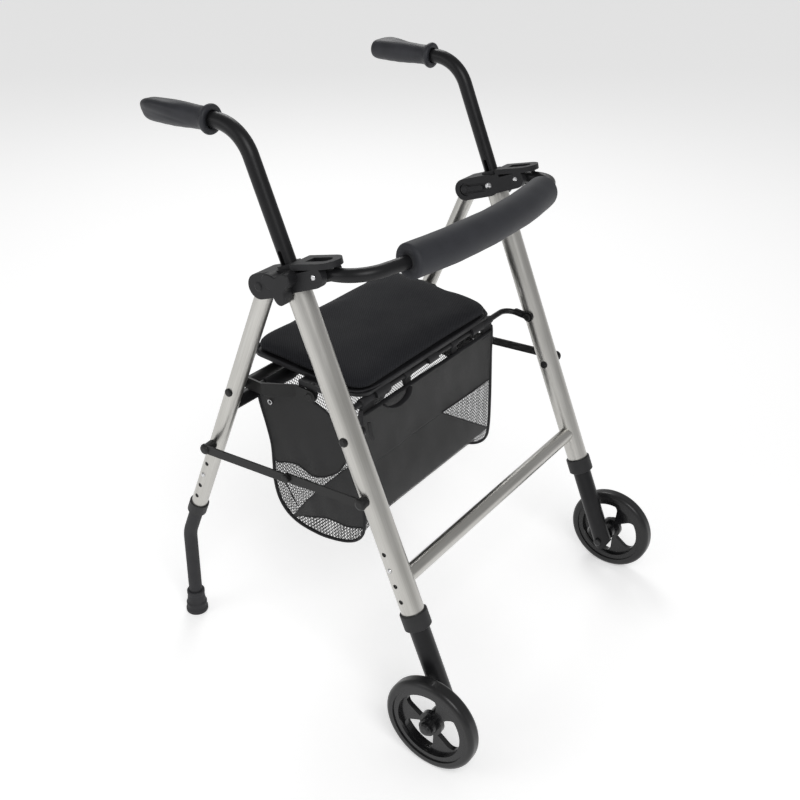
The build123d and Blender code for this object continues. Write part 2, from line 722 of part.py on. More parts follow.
# three tangent arcs make the bow: this is the middle one's radius and half angle
bow_r = ((LEG_X - corner_r) ** 2 + rise**2 - corner_r**2) / (2 * (rise - corner_r))
bow_c = lead_in + rise - bow_r
join = asin((LEG_X - corner_r) / (bow_r - corner_r))


def on_bow(ang):
    """Point of the middle arc, ang radians from the centre line."""
    return bow_r * sin(ang), bow_c + bow_r * cos(ang)


def on_corner(side, ang):
    """Point of a corner arc, ang radians from the centre line's direction."""
    return side * (LEG_X - corner_r + corner_r * sin(ang)), lead_in + corner_r * cos(ang)


turn_half = (join + pi / 2) / 2
bar_path = Wire(
    [
        Line((-LEG_X, 0), (-LEG_X, lead_in)),
        ThreePointArc((-LEG_X, lead_in), on_corner(-1, turn_half), on_bow(-join)),
        ThreePointArc(on_bow(-join), on_bow(0), on_bow(join)),
        ThreePointArc(on_bow(join), on_corner(1, turn_half), (LEG_X, lead_in)),
        Line((LEG_X, lead_in), (LEG_X, 0)),
    ]
)
bar = along(bar_path, BACK_OD / 2) - along(bar_path, BACK_OD / 2 - 1.8)
for side in (-1, 1):
    end = Pos(side * LEG_X, 0, 0) * Rot(-90, 0, 0) * Cylinder(BACK_OD / 2, 20)
    end &= xrod(BACK_OD / 2, side * LEG_X - 20, side * LEG_X + 20, 0, 0)
    bar += end
    bar -= xrod(2.5 + RUN, side * LEG_X - 20, side * LEG_X + 20, 0, 0)
parts["backrest_tube"] = REST.location * bar

foam_a = asin(FOAM_HALF / bow_r)
foam_path = ThreePointArc(on_bow(-foam_a), on_bow(0), on_bow(foam_a))
foam = along(foam_path, FOAM_OD / 2)
foam = fillet(foam.faces().filter_by(GeomType.PLANE).edges(), 2.5)
bore_a = foam_a * 1.05
bore_path = ThreePointArc(on_bow(-bore_a), on_bow(0), on_bow(bore_a))
foam -= along(bore_path, BACK_OD / 2 + RUN)
parts["backrest_foam"] = REST.location * foam

# ---- fabric basket -------------------------------------------------------------------------------
sleeve_r = REAR_CROSS_OD / 2 + SIDE
side_line = [
    (rc_y + sleeve_r + 1.8, rc_z),
    (rc_y + 9, rc_z - 28),
    (rc_y - 7, rc_z - 92),
    (rc_y - 17, rc_z - 124),
    (rc_y - 19, rc_z - 163),
    (rc_y - 27, rc_z - 197),
    (rc_y - 57, rc_z - 222),
    (rc_y - 108, rc_z - 230),
    (rc_y - 158, rc_z - 220),
    (rc_y - 188, rc_z - 194),
    (rc_y - 195, rc_z - 171),
    (rc_y - 192, rc_z - 92),
    (SEAT_TUBE_Y - 4, SEAT_TUBE_Z - 17),
]


def bag_face(x, grow):
    """Side outline of the basket, let in by the fabric's thickness."""
    mid_y, mid_z = rc_y - 90, rc_z - 90
    points = []
    for y, z in side_line:
        d = ((y - mid_y) ** 2 + (z - mid_z) ** 2) ** 0.5
        points.append((x, y + grow * (y - mid_y) / d, z + grow * (z - mid_z) / d))
    back = Line(points[0], points[1])
    curve = Spline(*points[1:-1])
    rise = Line(points[-2], points[-1])
    close = Line(points[-1], points[0])
    return make_face([back, curve, rise, close])


bag = extrude(bag_face(-BAG_HALF, 0), amount=2 * BAG_HALF, dir=(1, 0, 0))
inner = bag_face(-BAG_HALF + BAG_WALL, -BAG_WALL)
bag -= extrude(inner, amount=2 * (BAG_HALF - BAG_WALL), dir=(1, 0, 0))
# the mouth: walls end along the side panels' top edge
mouth = plate(
    -BAG_HALF + BAG_WALL,
    BAG_HALF - BAG_WALL,
    [
        (SEAT_TUBE_Y - 2, SEAT_TUBE_Z - 40),
        (SEAT_TUBE_Y - 2, SEAT_TUBE_Z + 30),
        (rc_y, rc_z + 60),
        (rc_y, rc_z - 40),
    ],
)
bag -= mouth
bag += xrod(sleeve_r + 1.8, -BAG_HALF, BAG_HALF, rc_y, rc_z)
# the side panels rise from the mouth to the sleeve behind the seat bars
flap = [
    (SEAT_TUBE_Y + 78, BAR_Z - 32.5),
    (rc_y - 16, rc_z + 10),
    (rc_y - 40, rc_z + 20),
    (SEAT_TUBE_Y + 88, BAR_Z - 4.5),
    (SEAT_TUBE_Y + 70, BAR_Z - 10.5),
]
bag += plate(BAG_HALF - BAG_WALL, BAG_HALF, flap)
bag += plate(-BAG_HALF, -BAG_HALF + BAG_WALL, flap)
loops = [(-BAG_HALF, -BAG_HALF + 20), (-72.0, -58.0), (58.0, 72.0), (BAG_HALF - 20, BAG_HALF)]
for x0, x1 in loops:
    bag += xrod(seat_r + SIDE + 1.8, x0, x1, SEAT_TUBE_Y, SEAT_TUBE_Z)
    bag += block(x0, x1, SEAT_TUBE_Y - 4, SEAT_TUBE_Y - 1.5, SEAT_TUBE_Z - 18, SEAT_TUBE_Z - seat_r)
bag -= xrod(seat_r + SIDE, -300, 300, SEAT_TUBE_Y, SEAT_TUBE_Z)
bag -= xrod(sleeve_r, -300, 300, rc_y, rc_z)
parts["basket"] = bag

# ---- put the origin under the middle of the box, and write the files ------------------------------
boxes = [p.bounding_box() for p in parts.values()]
y_low = min(b.min.Y for b in boxes)
y_high = max(b.max.Y for b in boxes)
shift = -(y_low + y_high) / 2
for name, piece in parts.items():
    export_step(Pos(0, shift, 0) * piece, f"parts/{name}.step")

print("pieces", len(parts), "shift in y", round(shift, 3))
for label, (y, z) in (
    ("axle", (AXLE_Y, WHEEL_R)),
    ("rear pivot", PIVOT),
    ("backrest pivot", BACK),
    ("clamp", front_yz(S_CLAMP)),
    ("front stay", k_front),
    ("rear stay", k_rear),
    ("seat tube", (SEAT_TUBE_Y, SEAT_TUBE_Z)),
    ("rod", (rod_y, rod_z)),
    ("front button", front_yz(s_button)),
    ("rear button", rear_yz(t_button)),
):
    print(label, round(y + shift, 2), round(z, 2))
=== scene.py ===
# %% [markdown]
# A folding walker with a seat. Its metal and plastic parts come ready made from the imported frame, in
# metres and in place. This lesson gives every one of them a worked-out finish, and builds the soft
# parts again: the seat cushion, the foam on the backrest, the rubber grips and the cloth
# basket. Soft parts need it most, because a solid from a CAD program has no sag, no seams and no weave.

import json
from math import asin, cos, pi, radians, sin

import bmesh
import bpy
import numpy as np
from mathutils import Matrix, Vector


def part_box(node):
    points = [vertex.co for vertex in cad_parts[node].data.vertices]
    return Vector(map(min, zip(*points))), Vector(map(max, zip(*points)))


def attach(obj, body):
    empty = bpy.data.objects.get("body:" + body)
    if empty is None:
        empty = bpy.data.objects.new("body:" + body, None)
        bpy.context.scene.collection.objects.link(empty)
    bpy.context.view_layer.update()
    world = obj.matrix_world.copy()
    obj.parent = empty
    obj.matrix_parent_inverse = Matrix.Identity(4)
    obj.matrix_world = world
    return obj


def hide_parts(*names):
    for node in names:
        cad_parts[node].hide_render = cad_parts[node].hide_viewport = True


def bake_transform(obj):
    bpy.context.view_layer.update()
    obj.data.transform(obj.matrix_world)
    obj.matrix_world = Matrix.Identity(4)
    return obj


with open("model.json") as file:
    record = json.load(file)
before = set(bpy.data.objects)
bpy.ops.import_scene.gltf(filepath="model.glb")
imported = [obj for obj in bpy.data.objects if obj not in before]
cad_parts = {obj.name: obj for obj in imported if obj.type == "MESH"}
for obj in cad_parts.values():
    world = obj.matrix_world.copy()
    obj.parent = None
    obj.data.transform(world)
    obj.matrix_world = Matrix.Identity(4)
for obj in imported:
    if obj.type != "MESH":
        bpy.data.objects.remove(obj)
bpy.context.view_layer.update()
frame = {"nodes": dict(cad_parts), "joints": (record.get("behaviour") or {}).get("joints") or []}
nodes = frame["nodes"]

# %% [markdown]
# Most new pieces here are one idea: a grid of points worked out from two numbers, one along and one
# across, joined into four-sided faces. A grid can be closed one way, as a tube is, or both ways, as a
# ring is. Rows that shrink to one point are merged, which closes a pole. The other choice would be to
# pull primitives about by hand, but a formula can be read, checked and changed later.


# %% A grid of points becomes a mesh
def surface(name, points, wrap=(False, False), uv=None, flip=False, solid=False):
    """Mesh of a grid of points (rows, columns, 3). Cell (i, j) is the face between rows i, i+1 and
    columns j, j+1; wrap joins the last row or column to the first. uv (rows, columns, 2) is in metres
    of cloth. A solid has its doubles merged and its faces turned outwards."""
    rows, cols = points.shape[:2]
    index = np.arange(rows * cols).reshape(rows, cols)
    if wrap[0]:
        index = np.vstack([index, index[:1]])
    if wrap[1]:
        index = np.hstack([index, index[:, :1]])
    faces = np.stack([index[:-1, :-1], index[:-1, 1:], index[1:, 1:], index[1:, :-1]], -1).reshape(-1, 4)
    if flip:
        faces = faces[:, ::-1]
    mesh = bpy.data.meshes.new(name)
    mesh.from_pydata(points.reshape(-1, 3), [], faces)
    if uv is not None:
        corner = np.empty(len(mesh.loops), dtype=np.int32)
        mesh.loops.foreach_get("vertex_index", corner)
        mesh.uv_layers.new(name="cloth").data.foreach_set("uv", uv.reshape(-1, 2)[corner].ravel())
    if solid:
        work = bmesh.new()
        work.from_mesh(mesh)
        bmesh.ops.remove_doubles(work, verts=work.verts, dist=1e-6)
        bmesh.ops.recalc_face_normals(work, faces=work.faces)
        work.to_mesh(mesh)
        work.free()
    mesh.polygons.foreach_set("use_smooth", np.ones(len(mesh.polygons), dtype=bool))
    piece = bpy.data.objects.new(name, mesh)
    bpy.context.collection.objects.link(piece)
    return piece


def finish_piece(piece, material, body="front_frame"):
    """Give a piece its material and the body it rides on."""
    piece.data.materials.append(material)
    if body:
        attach(piece, body)
    print(piece.name, len(piece.data.vertices), "points")
    return piece


# %% [markdown]
# Two more helpers. A smooth line through a few given points is how a maker draws a panel's edge. A tube
# carries a round or oval section along such a line: the section stands square to the line's direction,
# so the tube keeps its width round every bend. Rounding comes from letting the radius fall to nothing
# at both ends like a half circle.


# %% Lines through points, and tubes along lines
def smooth_line(knots, n, closed=False):
    """n points of the Catmull-Rom curve through the knots: between two knots each point is a cubic
    blend of those two and their two neighbours."""
    k = np.asarray(knots, float)
    if closed:
        k = np.vstack([k[-1:], k, k[:2]])
    else:
        k = np.vstack([2 * k[:1] - k[1:2], k, 2 * k[-1:] - k[-2:-1]])
    spans = len(k) - 3
    u = np.linspace(0, spans, n, endpoint=not closed)
    i = np.minimum(u.astype(int), spans - 1)
    t = (u - i)[:, None]
    a, b, c, d = k[i], k[i + 1], k[i + 2], k[i + 3]
    return 0.5 * (2 * b + (c - a) * t + (2 * a - 5 * b + 4 * c - d) * t**2 + (3 * b - 3 * c + d - a) * t**3)


def along_line(line):
    """Distance of each point from the line's start, measured along it."""
    return np.concatenate([[0], np.cumsum(np.linalg.norm(np.diff(line, axis=0), axis=1))])


def even(line, n):
    """The same line with n points at even distances."""
    s = along_line(line)
    at = np.linspace(0, s[-1], n)
    return np.stack([np.interp(at, s, line[:, k]) for k in range(line.shape[1])], -1)


def tube(name, line, radius, across=(1, 0, 0), oval=(1.0, 1.0), sides=12, closed=False):
    """Round or oval tube on a line. Point = line + radius * (cos a * oval0 * n + sin a * oval1 * b),
    where b is square to the line and to across, n is square to both, and the radius falls to 0 at open
    ends as a half circle does."""
    step = np.roll(line, -1, 0) - np.roll(line, 1, 0) if closed else np.gradient(line, axis=0)
    t = step / np.linalg.norm(step, axis=1)[:, None]
    b = np.cross(t, np.asarray(across, float))
    b /= np.linalg.norm(b, axis=1)[:, None]
    n = np.cross(b, t)
    r = np.full(len(line), radius)
    if not closed:
        s = along_line(line)
        near = np.minimum(s, s[-1] - s) / radius
        r = radius * np.sqrt(np.clip(1 - (1 - np.minimum(near, 1)) ** 2, 0, 1))
    a = np.linspace(0, 2 * pi, sides, endpoint=False)
    ring = np.cos(a)[None, :, None] * oval[0] * n[:, None] + np.sin(a)[None, :, None] * oval[1] * b[:, None]
    return surface(name, line[:, None] + r[:, None, None] * ring, wrap=(closed, True), solid=True)


# %% [markdown]
# Finishes are node materials. Each begins with Blender's Principled shader, whose plain numbers are
# typed on its own sockets. Patterns come from noise and waves in Object coordinates, so they stay on
# the piece wherever it moves. These small functions each add one pattern: a noise, a soft change of
# colour between two shades, a change of roughness and a bump.


# %% Small functions that build a finish
def finish(name, colour, roughness, metallic=0.0, **numbers):
    """New material; numbers go straight onto the shader's sockets, underscores for spaces."""
    m = bpy.data.materials.new(name)
    m.use_nodes = True
    shader = m.node_tree.nodes["Principled BSDF"]
    shader.inputs["Base Color"].default_value = (*colour, 1)
    shader.inputs["Roughness"].default_value = roughness
    shader.inputs["Metallic"].default_value = metallic
    for key, value in numbers.items():
        shader.inputs[key.replace("_", " ")].default_value = value
    return m


def node(m, kind, inputs=(), **settings):
    """Add one node, set its options, and link or set its inputs by name or number."""
    made = m.node_tree.nodes.new(kind)
    for key, value in settings.items():
        setattr(made, key, value)
    for key, value in dict(inputs).items():
        if hasattr(value, "is_output"):
            m.node_tree.links.new(value, made.inputs[key])
        else:
            made.inputs[key].default_value = value
    return made


def place(m, scale=(1, 1, 1), turn=(0, 0, 0), source="Object"):
    """Coordinates of the pattern, turned first and then stretched."""
    coords = node(m, "ShaderNodeTexCoord").outputs[source]
    turned = node(m, "ShaderNodeMapping", {"Vector": coords, "Rotation": turn}).outputs[0]
    return node(m, "ShaderNodeMapping", {"Vector": turned, "Scale": scale}).outputs[0]


def noise(m, scale, where=None, detail=3.0, rough=0.55):
    """Cloudy pattern from 0 to 1, scale in lumps per metre."""
    where = where or place(m)
    numbers = {"Vector": where, "Scale": scale, "Detail": detail, "Roughness": rough}
    return node(m, "ShaderNodeTexNoise", numbers).outputs["Fac"]


def fit(m, value, low, high, to_low=0.0, to_high=1.0):
    """Stretch the values between low and high to a new range, and hold them there beyond it."""
    ends = {"From Min": low, "From Max": high, "To Min": to_low, "To Max": to_high}
    return node(m, "ShaderNodeMapRange", {"Value": value, **ends}).outputs[0]


def maths(m, what, a, b=0.0):
    """One sum of two values or sockets."""
    return node(m, "ShaderNodeMath", {0: a, 1: b}, operation=what).outputs[0]


def shade(m, amount, dark, light):
    """Colour that goes from dark to light with the amount."""
    mix = node(m, "ShaderNodeMix", {"Factor": amount}, data_type="RGBA")
    mix.inputs[6].default_value = (*dark, 1)
    mix.inputs[7].default_value = (*light, 1)
    m.node_tree.links.new(mix.outputs[2], m.node_tree.nodes["Principled BSDF"].inputs["Base Color"])
    return mix.outputs[2]


def roughen(m, amount, low, high):
    """Roughness that goes from low to high with the amount."""
    socket = m.node_tree.nodes["Principled BSDF"].inputs["Roughness"]
    m.node_tree.links.new(fit(m, amount, 0.25, 0.75, low, high), socket)


def bump(m, height, depth, strength=1.0):
    """Raise and lower the surface's shading by height, depth in metres."""
    made = node(m, "ShaderNodeBump", {"Height": height, "Distance": depth, "Strength": strength})
    m.node_tree.links.new(made.outputs[0], m.node_tree.nodes["Principled BSDF"].inputs["Normal"])


# %% [markdown]
# The tubes are satin anodised aluminium: a grey metal with very fine drawing lines along the tube and a
# slow change of tone. A noise squeezed across the tube and stretched along it gives the lines. Each
# family of tubes leans its own way, so the pattern is turned to lie along that family. A few short
# scuffs raise the roughness where hands and walls touch it.


# %% Satin aluminium, one finish for each direction of tube
def satin_aluminium(name, turn):
    """Grey metal whose fine lines lie along the direction that turn brings upright."""
    m = finish(name, (0.52, 0.51, 0.485), 0.36, 1.0)
    lines = noise(m, 1.0, place(m, (900, 900, 9), turn), detail=2)
    slow = noise(m, 1.0, place(m, (26, 26, 5), turn), detail=3)
    scuff = noise(m, 1.0, place(m, (160, 160, 60), turn), detail=6, rough=0.7)
    tone = maths(m, "ADD", maths(m, "MULTIPLY", lines, 0.45), maths(m, "MULTIPLY", slow, 0.55))
    shade(m, fit(m, tone, 0.3, 0.7), (0.44, 0.432, 0.405), (0.61, 0.60, 0.575))
    scuffed = maths(m, "MULTIPLY", fit(m, scuff, 0.6, 0.8), 0.4)
    worn = maths(m, "ADD", maths(m, "MULTIPLY", slow, 0.6), scuffed)
    roughen(m, worn, 0.30, 0.50)
    bump(m, lines, 0.00004, 0.5)
    return m


FRONT_LEAN, REAR_LEAN = radians(23.8), radians(-21.8)
aluminium_front = satin_aluminium("aluminium_front", (FRONT_LEAN, 0, 0))
aluminium_rear = satin_aluminium("aluminium_rear", (REAR_LEAN, 0, 0))
aluminium_cross = satin_aluminium("aluminium_cross", (0, radians(90), 0))
print("three directions of aluminium")

# %% [markdown]
# The black parts are several different things and should look it. The handles and the seat rod are
# anodised black with a soft shine, the flat steel stays are painted, the brackets and collars are
# moulded plastic with a fine spark-eroded grain, the wheels are a glossier plastic, and the feet and
# tyres are rubber. They share a near black colour and differ in roughness, grain and in how their edges
# of wear and dust show.


# %% Blacks: anodised, painted, moulded, glossy and rubber
def black(name, dark, light, rough, grain, depth, metallic=0.0, **numbers):
    """Near black finish: a slow cloud moves it between two shades and two roughnesses, and a fine grain
    gives bump."""
    m = finish(name, dark, rough[0], metallic, **{"Specular_IOR_Level": 0.3, **numbers})
    cloud = noise(m, 22, detail=4)
    fine = noise(m, grain, detail=2)
    both = maths(m, "ADD", maths(m, "MULTIPLY", cloud, 0.6), maths(m, "MULTIPLY", fine, 0.4))
    shade(m, fit(m, both, 0.35, 0.68), dark, light)
    roughen(m, both, *rough)
    bump(m, fine, depth, 0.6)
    return m


# name, dark shade, light shade, roughness range, grains per metre, grain depth in metres, metallic
black_anodised = black(
    "black_anodised", (0.008, 0.008, 0.009), (0.015, 0.015, 0.016), (0.30, 0.44), 1500, 0.00003, 0.25
)
black_paint = black("black_paint", (0.007, 0.007, 0.007), (0.014, 0.014, 0.014), (0.34, 0.5), 700, 0.00006)
moulded = black("moulded_plastic", (0.009, 0.009, 0.010), (0.019, 0.019, 0.021), (0.42, 0.58), 1300, 0.00010)
collar_grey = black(
    "moulded_plastic_worn", (0.015, 0.015, 0.016), (0.028, 0.028, 0.029), (0.46, 0.6), 1300, 0.00010
)
wheel_gloss = black(
    "wheel_plastic", (0.006, 0.006, 0.0065), (0.011, 0.011, 0.012), (0.20, 0.34), 500, 0.00004,
    Coat_Weight=0.25,
)
tyre_rubber = black(
    "tyre_rubber", (0.009, 0.009, 0.0095), (0.018, 0.018, 0.019), (0.28, 0.44), 600, 0.00010,
    Coat_Weight=0.15,
)
foot_rubber = black("foot_rubber", (0.018, 0.018, 0.020), (0.036, 0.036, 0.039), (0.55, 0.75), 800, 0.00014)
print("seven blacks")

# %% [markdown]
# Rivets, bolts and snap buttons are bright plated steel, which needs only tiny scratches. They are
# small, but each gives a spark of light that shows the part is a real assembly.

# %% Bright steel
bright_steel = finish("bright_steel", (0.66, 0.66, 0.67), 0.22, 1.0)
scratch = noise(bright_steel, 1.0, place(bright_steel, (300, 300, 2400), (0.5, 0.2, 0)), detail=3)
shade(bright_steel, fit(bright_steel, scratch, 0.3, 0.7), (0.52, 0.52, 0.53), (0.74, 0.74, 0.75))
roughen(bright_steel, scratch, 0.16, 0.34)
bump(bright_steel, scratch, 0.00003, 0.5)
print(bright_steel.name)

# %% [markdown]
# Each CAD node now takes its finish by name. A dictionary from the start of a node's name to a finish
# is the shortest honest way to write it, and the loop reports any node that no line covers.

# %% Finish every CAD node
by_name = {
    "front_tube": aluminium_front,
    "rear_tube": aluminium_rear,
    "front_crossbar": aluminium_cross,
    "handle_tube": black_anodised,
    "front_leg": black_anodised,
    "rear_leg": foot_rubber,
    "foot_tip": foot_rubber,
    "seat_front_tube": black_anodised,
    "backrest_tube": black_anodised,
    "rear_crossbar": black_anodised,
    "rear_rod": black_paint,
    "side_bar": black_paint,
    "front_stay": black_paint,
    "rear_stay": black_paint,
    "top_bracket": moulded,
    "clamp_knob": moulded,
    "seat_board": moulded,
    "front_collar": collar_grey,
    "rear_collar": collar_grey,
    "wheel": wheel_gloss,
    "tyre": tyre_rubber,
    "front_stay_pin": black_paint,
    "rear_stay_pin": black_paint,
    "front_button": bright_steel,
    "rear_button": bright_steel,
    "backrest_rivet": bright_steel,
    "rear_pivot_pin": moulded,
    "clamp_bolt": bright_steel,
    "seat_tube_bolt": black_paint,
    "axle": wheel_gloss,
}
replaced = ("seat_cushion", "backrest_foam", "basket", "grip")
for name, part in nodes.items():
    starts = [k for k in by_name if name == k or name.rsplit("_", 1)[0] == k]
    if starts:
        for s in part.material_slots:
            s.material = by_name[starts[0]]
    elif not name.startswith(replaced):
        print("no finish for", name)
print(len(by_name), "kinds of CAD node finished")

# %% [markdown]
# The seat cushion is a foam pad in a ribbed spacer mesh. It starts as a closed pillow: rings of the
# rounded seat outline, from the middle of its top to the middle of its underside. The outline pulls in
# a little between its corners, because stuffing pushes hardest there. It is made in the seat's own
# slanted frame, where its underside is flat.


# %% The cushion's starting shape
low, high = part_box("seat_cushion")
rise = radians(3.5)
seat_at = np.array([0.0, low[1] + 0.0014, low[2]])
seat_w, seat_d = high[0] - low[0], (high[1] - seat_at[1]) / cos(rise)
seat_axes = np.array([[1, 0, 0], [0, cos(rise), sin(rise)], [0, -sin(rise), cos(rise)]])
print("cushion", round(seat_w, 3), "by", round(seat_d, 3))


def on_seat(p):
    """Points of the seat's frame (across, back, up) turned into the walker's frame."""
    return p @ seat_axes + seat_at


def outline(a, inset, pull=0.0):
    """Seat outline at angle a: |x/W|^9 + |y/D|^9 = 1, inset from its box and drawn in by pull midway
    along each side."""
    c, s = np.cos(a), np.sin(a)
    r = (np.abs(c) ** 9 + np.abs(s) ** 9) ** (-1 / 9)
    ox, oy = r * c, r * s
    return ox * (seat_w / 2 - inset - pull * (1 - oy**2)), oy * (seat_d / 2 - inset - pull * (1 - ox**2))


def pillow(n_round=200, n_rings=48, thick=0.0262, inset=0.0025):
    """Ring v and angle a. A ring is the outline times sin(v)^0.16. Above the rim its height is edge *
    (0.4 + 0.6 cos(v)^0.6) plus a crown over the middle; below the rim it closes flat on the board."""
    a = np.linspace(0, 2 * pi, n_round, endpoint=False)[None, :]
    v = np.linspace(0, pi, n_rings)[:, None]
    ox, oy = outline(a, inset, 0.0020)
    size = np.sin(v) ** 0.16
    size[0], size[-1] = 0, 0
    x, y = ox * size, oy * size
    crown = (1 - (2 * x / seat_w) ** 2) * (1 - (2 * y / seat_d) ** 2)
    edge, lid, base = thick * 0.60, np.clip(np.cos(v), 0, 1), np.clip(-np.cos(v), 0, 1)
    top = edge * (0.4 + 0.6 * lid**0.6) + (thick - edge) * crown**0.8 * lid**0.4
    up = np.where(np.cos(v) >= 0, top, edge * 0.4 * (1 - base**0.4))
    return on_seat(np.stack([x, y + seat_d / 2, up], -1))


cushion = surface("seat_cushion_cover", pillow(), wrap=(False, True), solid=True)
print("pillow box", np.round(np.array(cushion.bound_box)[[0, 6]], 3).tolist())

# %% [markdown]
# Then cloth simulation puffs it up. The mesh is rebuilt in even 5 mm cells, Blender's Cloth pushes it
# outwards from inside for 20 frames with gravity off, and every point may move at most 4 mm and never
# below the board the pad rests on. Real stuffing does the same: it fills the middle, rounds the edges
# and leaves the corners tight.


# %% Puff up a pad with cloth simulation
def puff(piece, cell, cap, floor_up):
    """Remesh, simulate, limit each point's travel to cap, and keep it above the board."""
    bpy.context.view_layer.objects.active = piece
    piece.select_set(True)
    remesh = piece.modifiers.new("cells", "REMESH")
    remesh.mode, remesh.voxel_size = "VOXEL", cell
    bpy.ops.object.modifier_apply(modifier=remesh.name)
    start = np.array([v.co for v in piece.data.vertices])
    cloth = piece.modifiers.new("puff", "CLOTH")
    cloth.settings.use_pressure = True
    cloth.settings.uniform_pressure_force = 4
    cloth.settings.effector_weights.gravity = 0
    for f in range(1, 21):
        bpy.context.scene.frame_set(f)
    bpy.ops.object.modifier_apply(modifier=cloth.name)
    bpy.context.scene.frame_set(1)
    end = np.array([v.co for v in piece.data.vertices])
    move = end - start
    far = np.linalg.norm(move, axis=1)
    end = start + move * np.minimum(1, cap / np.maximum(far, 1e-9))[:, None]
    local = (end - seat_at) @ seat_axes.T
    local[:, 2] = np.maximum(local[:, 2], floor_up)
    piece.data.vertices.foreach_set("co", on_seat(local).ravel())
    piece.data.polygons.foreach_set("use_smooth", np.ones(len(piece.data.polygons), dtype=bool))
    piece.select_set(False)
    soft = piece.modifiers.new("even", "SMOOTH")
    soft.factor, soft.iterations = 0.5, 2
    finer = piece.modifiers.new("finer", "SUBSURF")
    finer.levels = finer.render_levels = 1
    print(piece.name, "moved at most", round(float(min(far.max(), cap)) * 1000, 1), "mm")


puff(cushion, 0.005, 0.004, 0.0002)

# %% [markdown]
# The cover is a black spacer mesh. Close up it is rows of fine ribs that run slantwise, with small dark
# pits between them. Two crossing wave patterns make the ribs and pits, one stronger than the other, and
# the pits are both darker and deeper. It is cut from Object coordinates in the plane of the seat,
# because the remeshed pad has no map of its own.


# %% Ribbed mesh cover
def ribbed_cover(name):
    """Two sine waves, 3 mm and 2.2 mm long, at 45 degrees: rib * 0.32 + rib * cross * 0.18."""
    soft = {"Sheen_Weight": 0.04, "Sheen_Roughness": 0.5, "Specular_IOR_Level": 0.2}
    m = finish(name, (0.012, 0.0125, 0.016), 0.8, **soft)
    where = place(m, (1, 1, 1), (0, 0, radians(45)))
    split = node(m, "ShaderNodeSeparateXYZ", {0: where})
    rib = maths(m, "SINE", maths(m, "MULTIPLY", split.outputs[0], 2 * pi / 0.0030))
    cross = maths(m, "SINE", maths(m, "MULTIPLY", split.outputs[1], 2 * pi / 0.0022))
    pits = maths(m, "MULTIPLY", maths(m, "MULTIPLY", rib, cross), 0.18)
    weave = maths(m, "ADD", maths(m, "MULTIPLY", rib, 0.32), pits)
    weave = maths(m, "ADD", weave, 0.5)
    cloud = noise(m, 14, detail=4)
    tone = maths(m, "ADD", maths(m, "MULTIPLY", weave, 0.75), maths(m, "MULTIPLY", cloud, 0.25))
    shade(m, fit(m, tone, 0.2, 0.8), (0.0045, 0.0047, 0.006), (0.016, 0.0168, 0.021))
    roughen(m, cloud, 0.7, 0.88)
    bump(m, weave, 0.0005, 0.8)
    return m


seat_mesh = ribbed_cover("seat_spacer_mesh")
finish_piece(cushion, seat_mesh, "seat")
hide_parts("seat_cushion")

# %% [markdown]
# A piping runs round the cushion's lower edge, where top cover and base cloth are sewn together. It is
# a thin tube on the same rounded outline as the pad, so it is a line of points and one call.


# %% Edge piping
def seat_edge(inset, up, n=240):
    """Closed outline of the seat, the same curve as the pad, inset from its box and raised by up."""
    x, y = outline(np.linspace(0, 2 * pi, n, endpoint=False), inset)
    return on_seat(np.stack([x, y + seat_d / 2, np.full(n, up)], -1))


piping_cloth = black("piping_cloth", (0.010, 0.010, 0.012), (0.022, 0.022, 0.025), (0.6, 0.8), 900, 0.0002)
piping = tube("seat_piping", seat_edge(0.0035, 0.0016), 0.0016, across=(0, 0, 1), closed=True, sides=10)
finish_piece(piping, piping_cloth, "seat")

# %% [markdown]
# The backrest foam is a thick hose of closed-cell foam pushed over the bowed bar. Its middle line is
# the bar's own arc. The profile is a closed loop, out along the skin, over the rounded end, in to the
# bar, and back along the bore, and it is carried round the arc. The skin is never quite even, so slow
# lumps of about half a millimetre are added to its radius.

# %% The arc the foam sits on
pivot_lo, pivot_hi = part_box("backrest_rivet_left")
rest_y, rest_z = (pivot_lo[1] + pivot_hi[1]) / 2, (pivot_lo[2] + pivot_hi[2]) / 2
BOW_R, BOW_C, TILT = 0.82916, -0.72916, radians(7.4)


def on_bow(a, out, up):
    """Point of the bow at angle a, moved out from the arc's centre and up from its plane, which rises
    7.4 degrees."""
    ahead = BOW_C + (BOW_R + out) * np.cos(a)
    x = (BOW_R + out) * np.sin(a)
    y = rest_y - ahead * cos(TILT) + up * sin(TILT)
    z = rest_z + ahead * sin(TILT) + up * cos(TILT)
    return np.stack([x, y, z], -1)


def foam_hose(half=0.1825, skin=0.0252, bore=0.0097, n_round=48):
    """Row i of the loop has a place s along the arc and a radius r; column j has an angle b round the
    bar. Skin radius = skin * (1 + lumps), falling by a quarter circle of 4 mm at each end."""
    end = 0.004
    q = np.linspace(0, pi / 2, 8)
    s_skin = np.linspace(-half + end, half - end, 90)
    s_start, s_stop = -half + end - end * np.cos(q), half - end + end * np.sin(q)
    s = np.concatenate([s_start[:-1], s_skin, s_stop[1:], np.linspace(half, -half, 40)])
    r_end = skin - end + end * np.sin(q)
    r = np.concatenate([r_end[:-1], np.full(90, skin), (skin - end + end * np.cos(q))[1:], np.full(40, bore)])
    b = np.linspace(0, 2 * pi, n_round, endpoint=False)[None, :]
    s, r = s[:, None], r[:, None]
    lumps = 0.010 * np.sin(31 * s + 2 * b) + 0.007 * np.sin(67 * s - b + 1.3)
    lumps = lumps + 0.004 * np.sin(140 * s + 3 * b)
    r = np.where(r > skin * 0.6, r * (1 + lumps), r)
    a = s / BOW_R + 0 * b
    return on_bow(a, r * np.cos(b), r * np.sin(b))


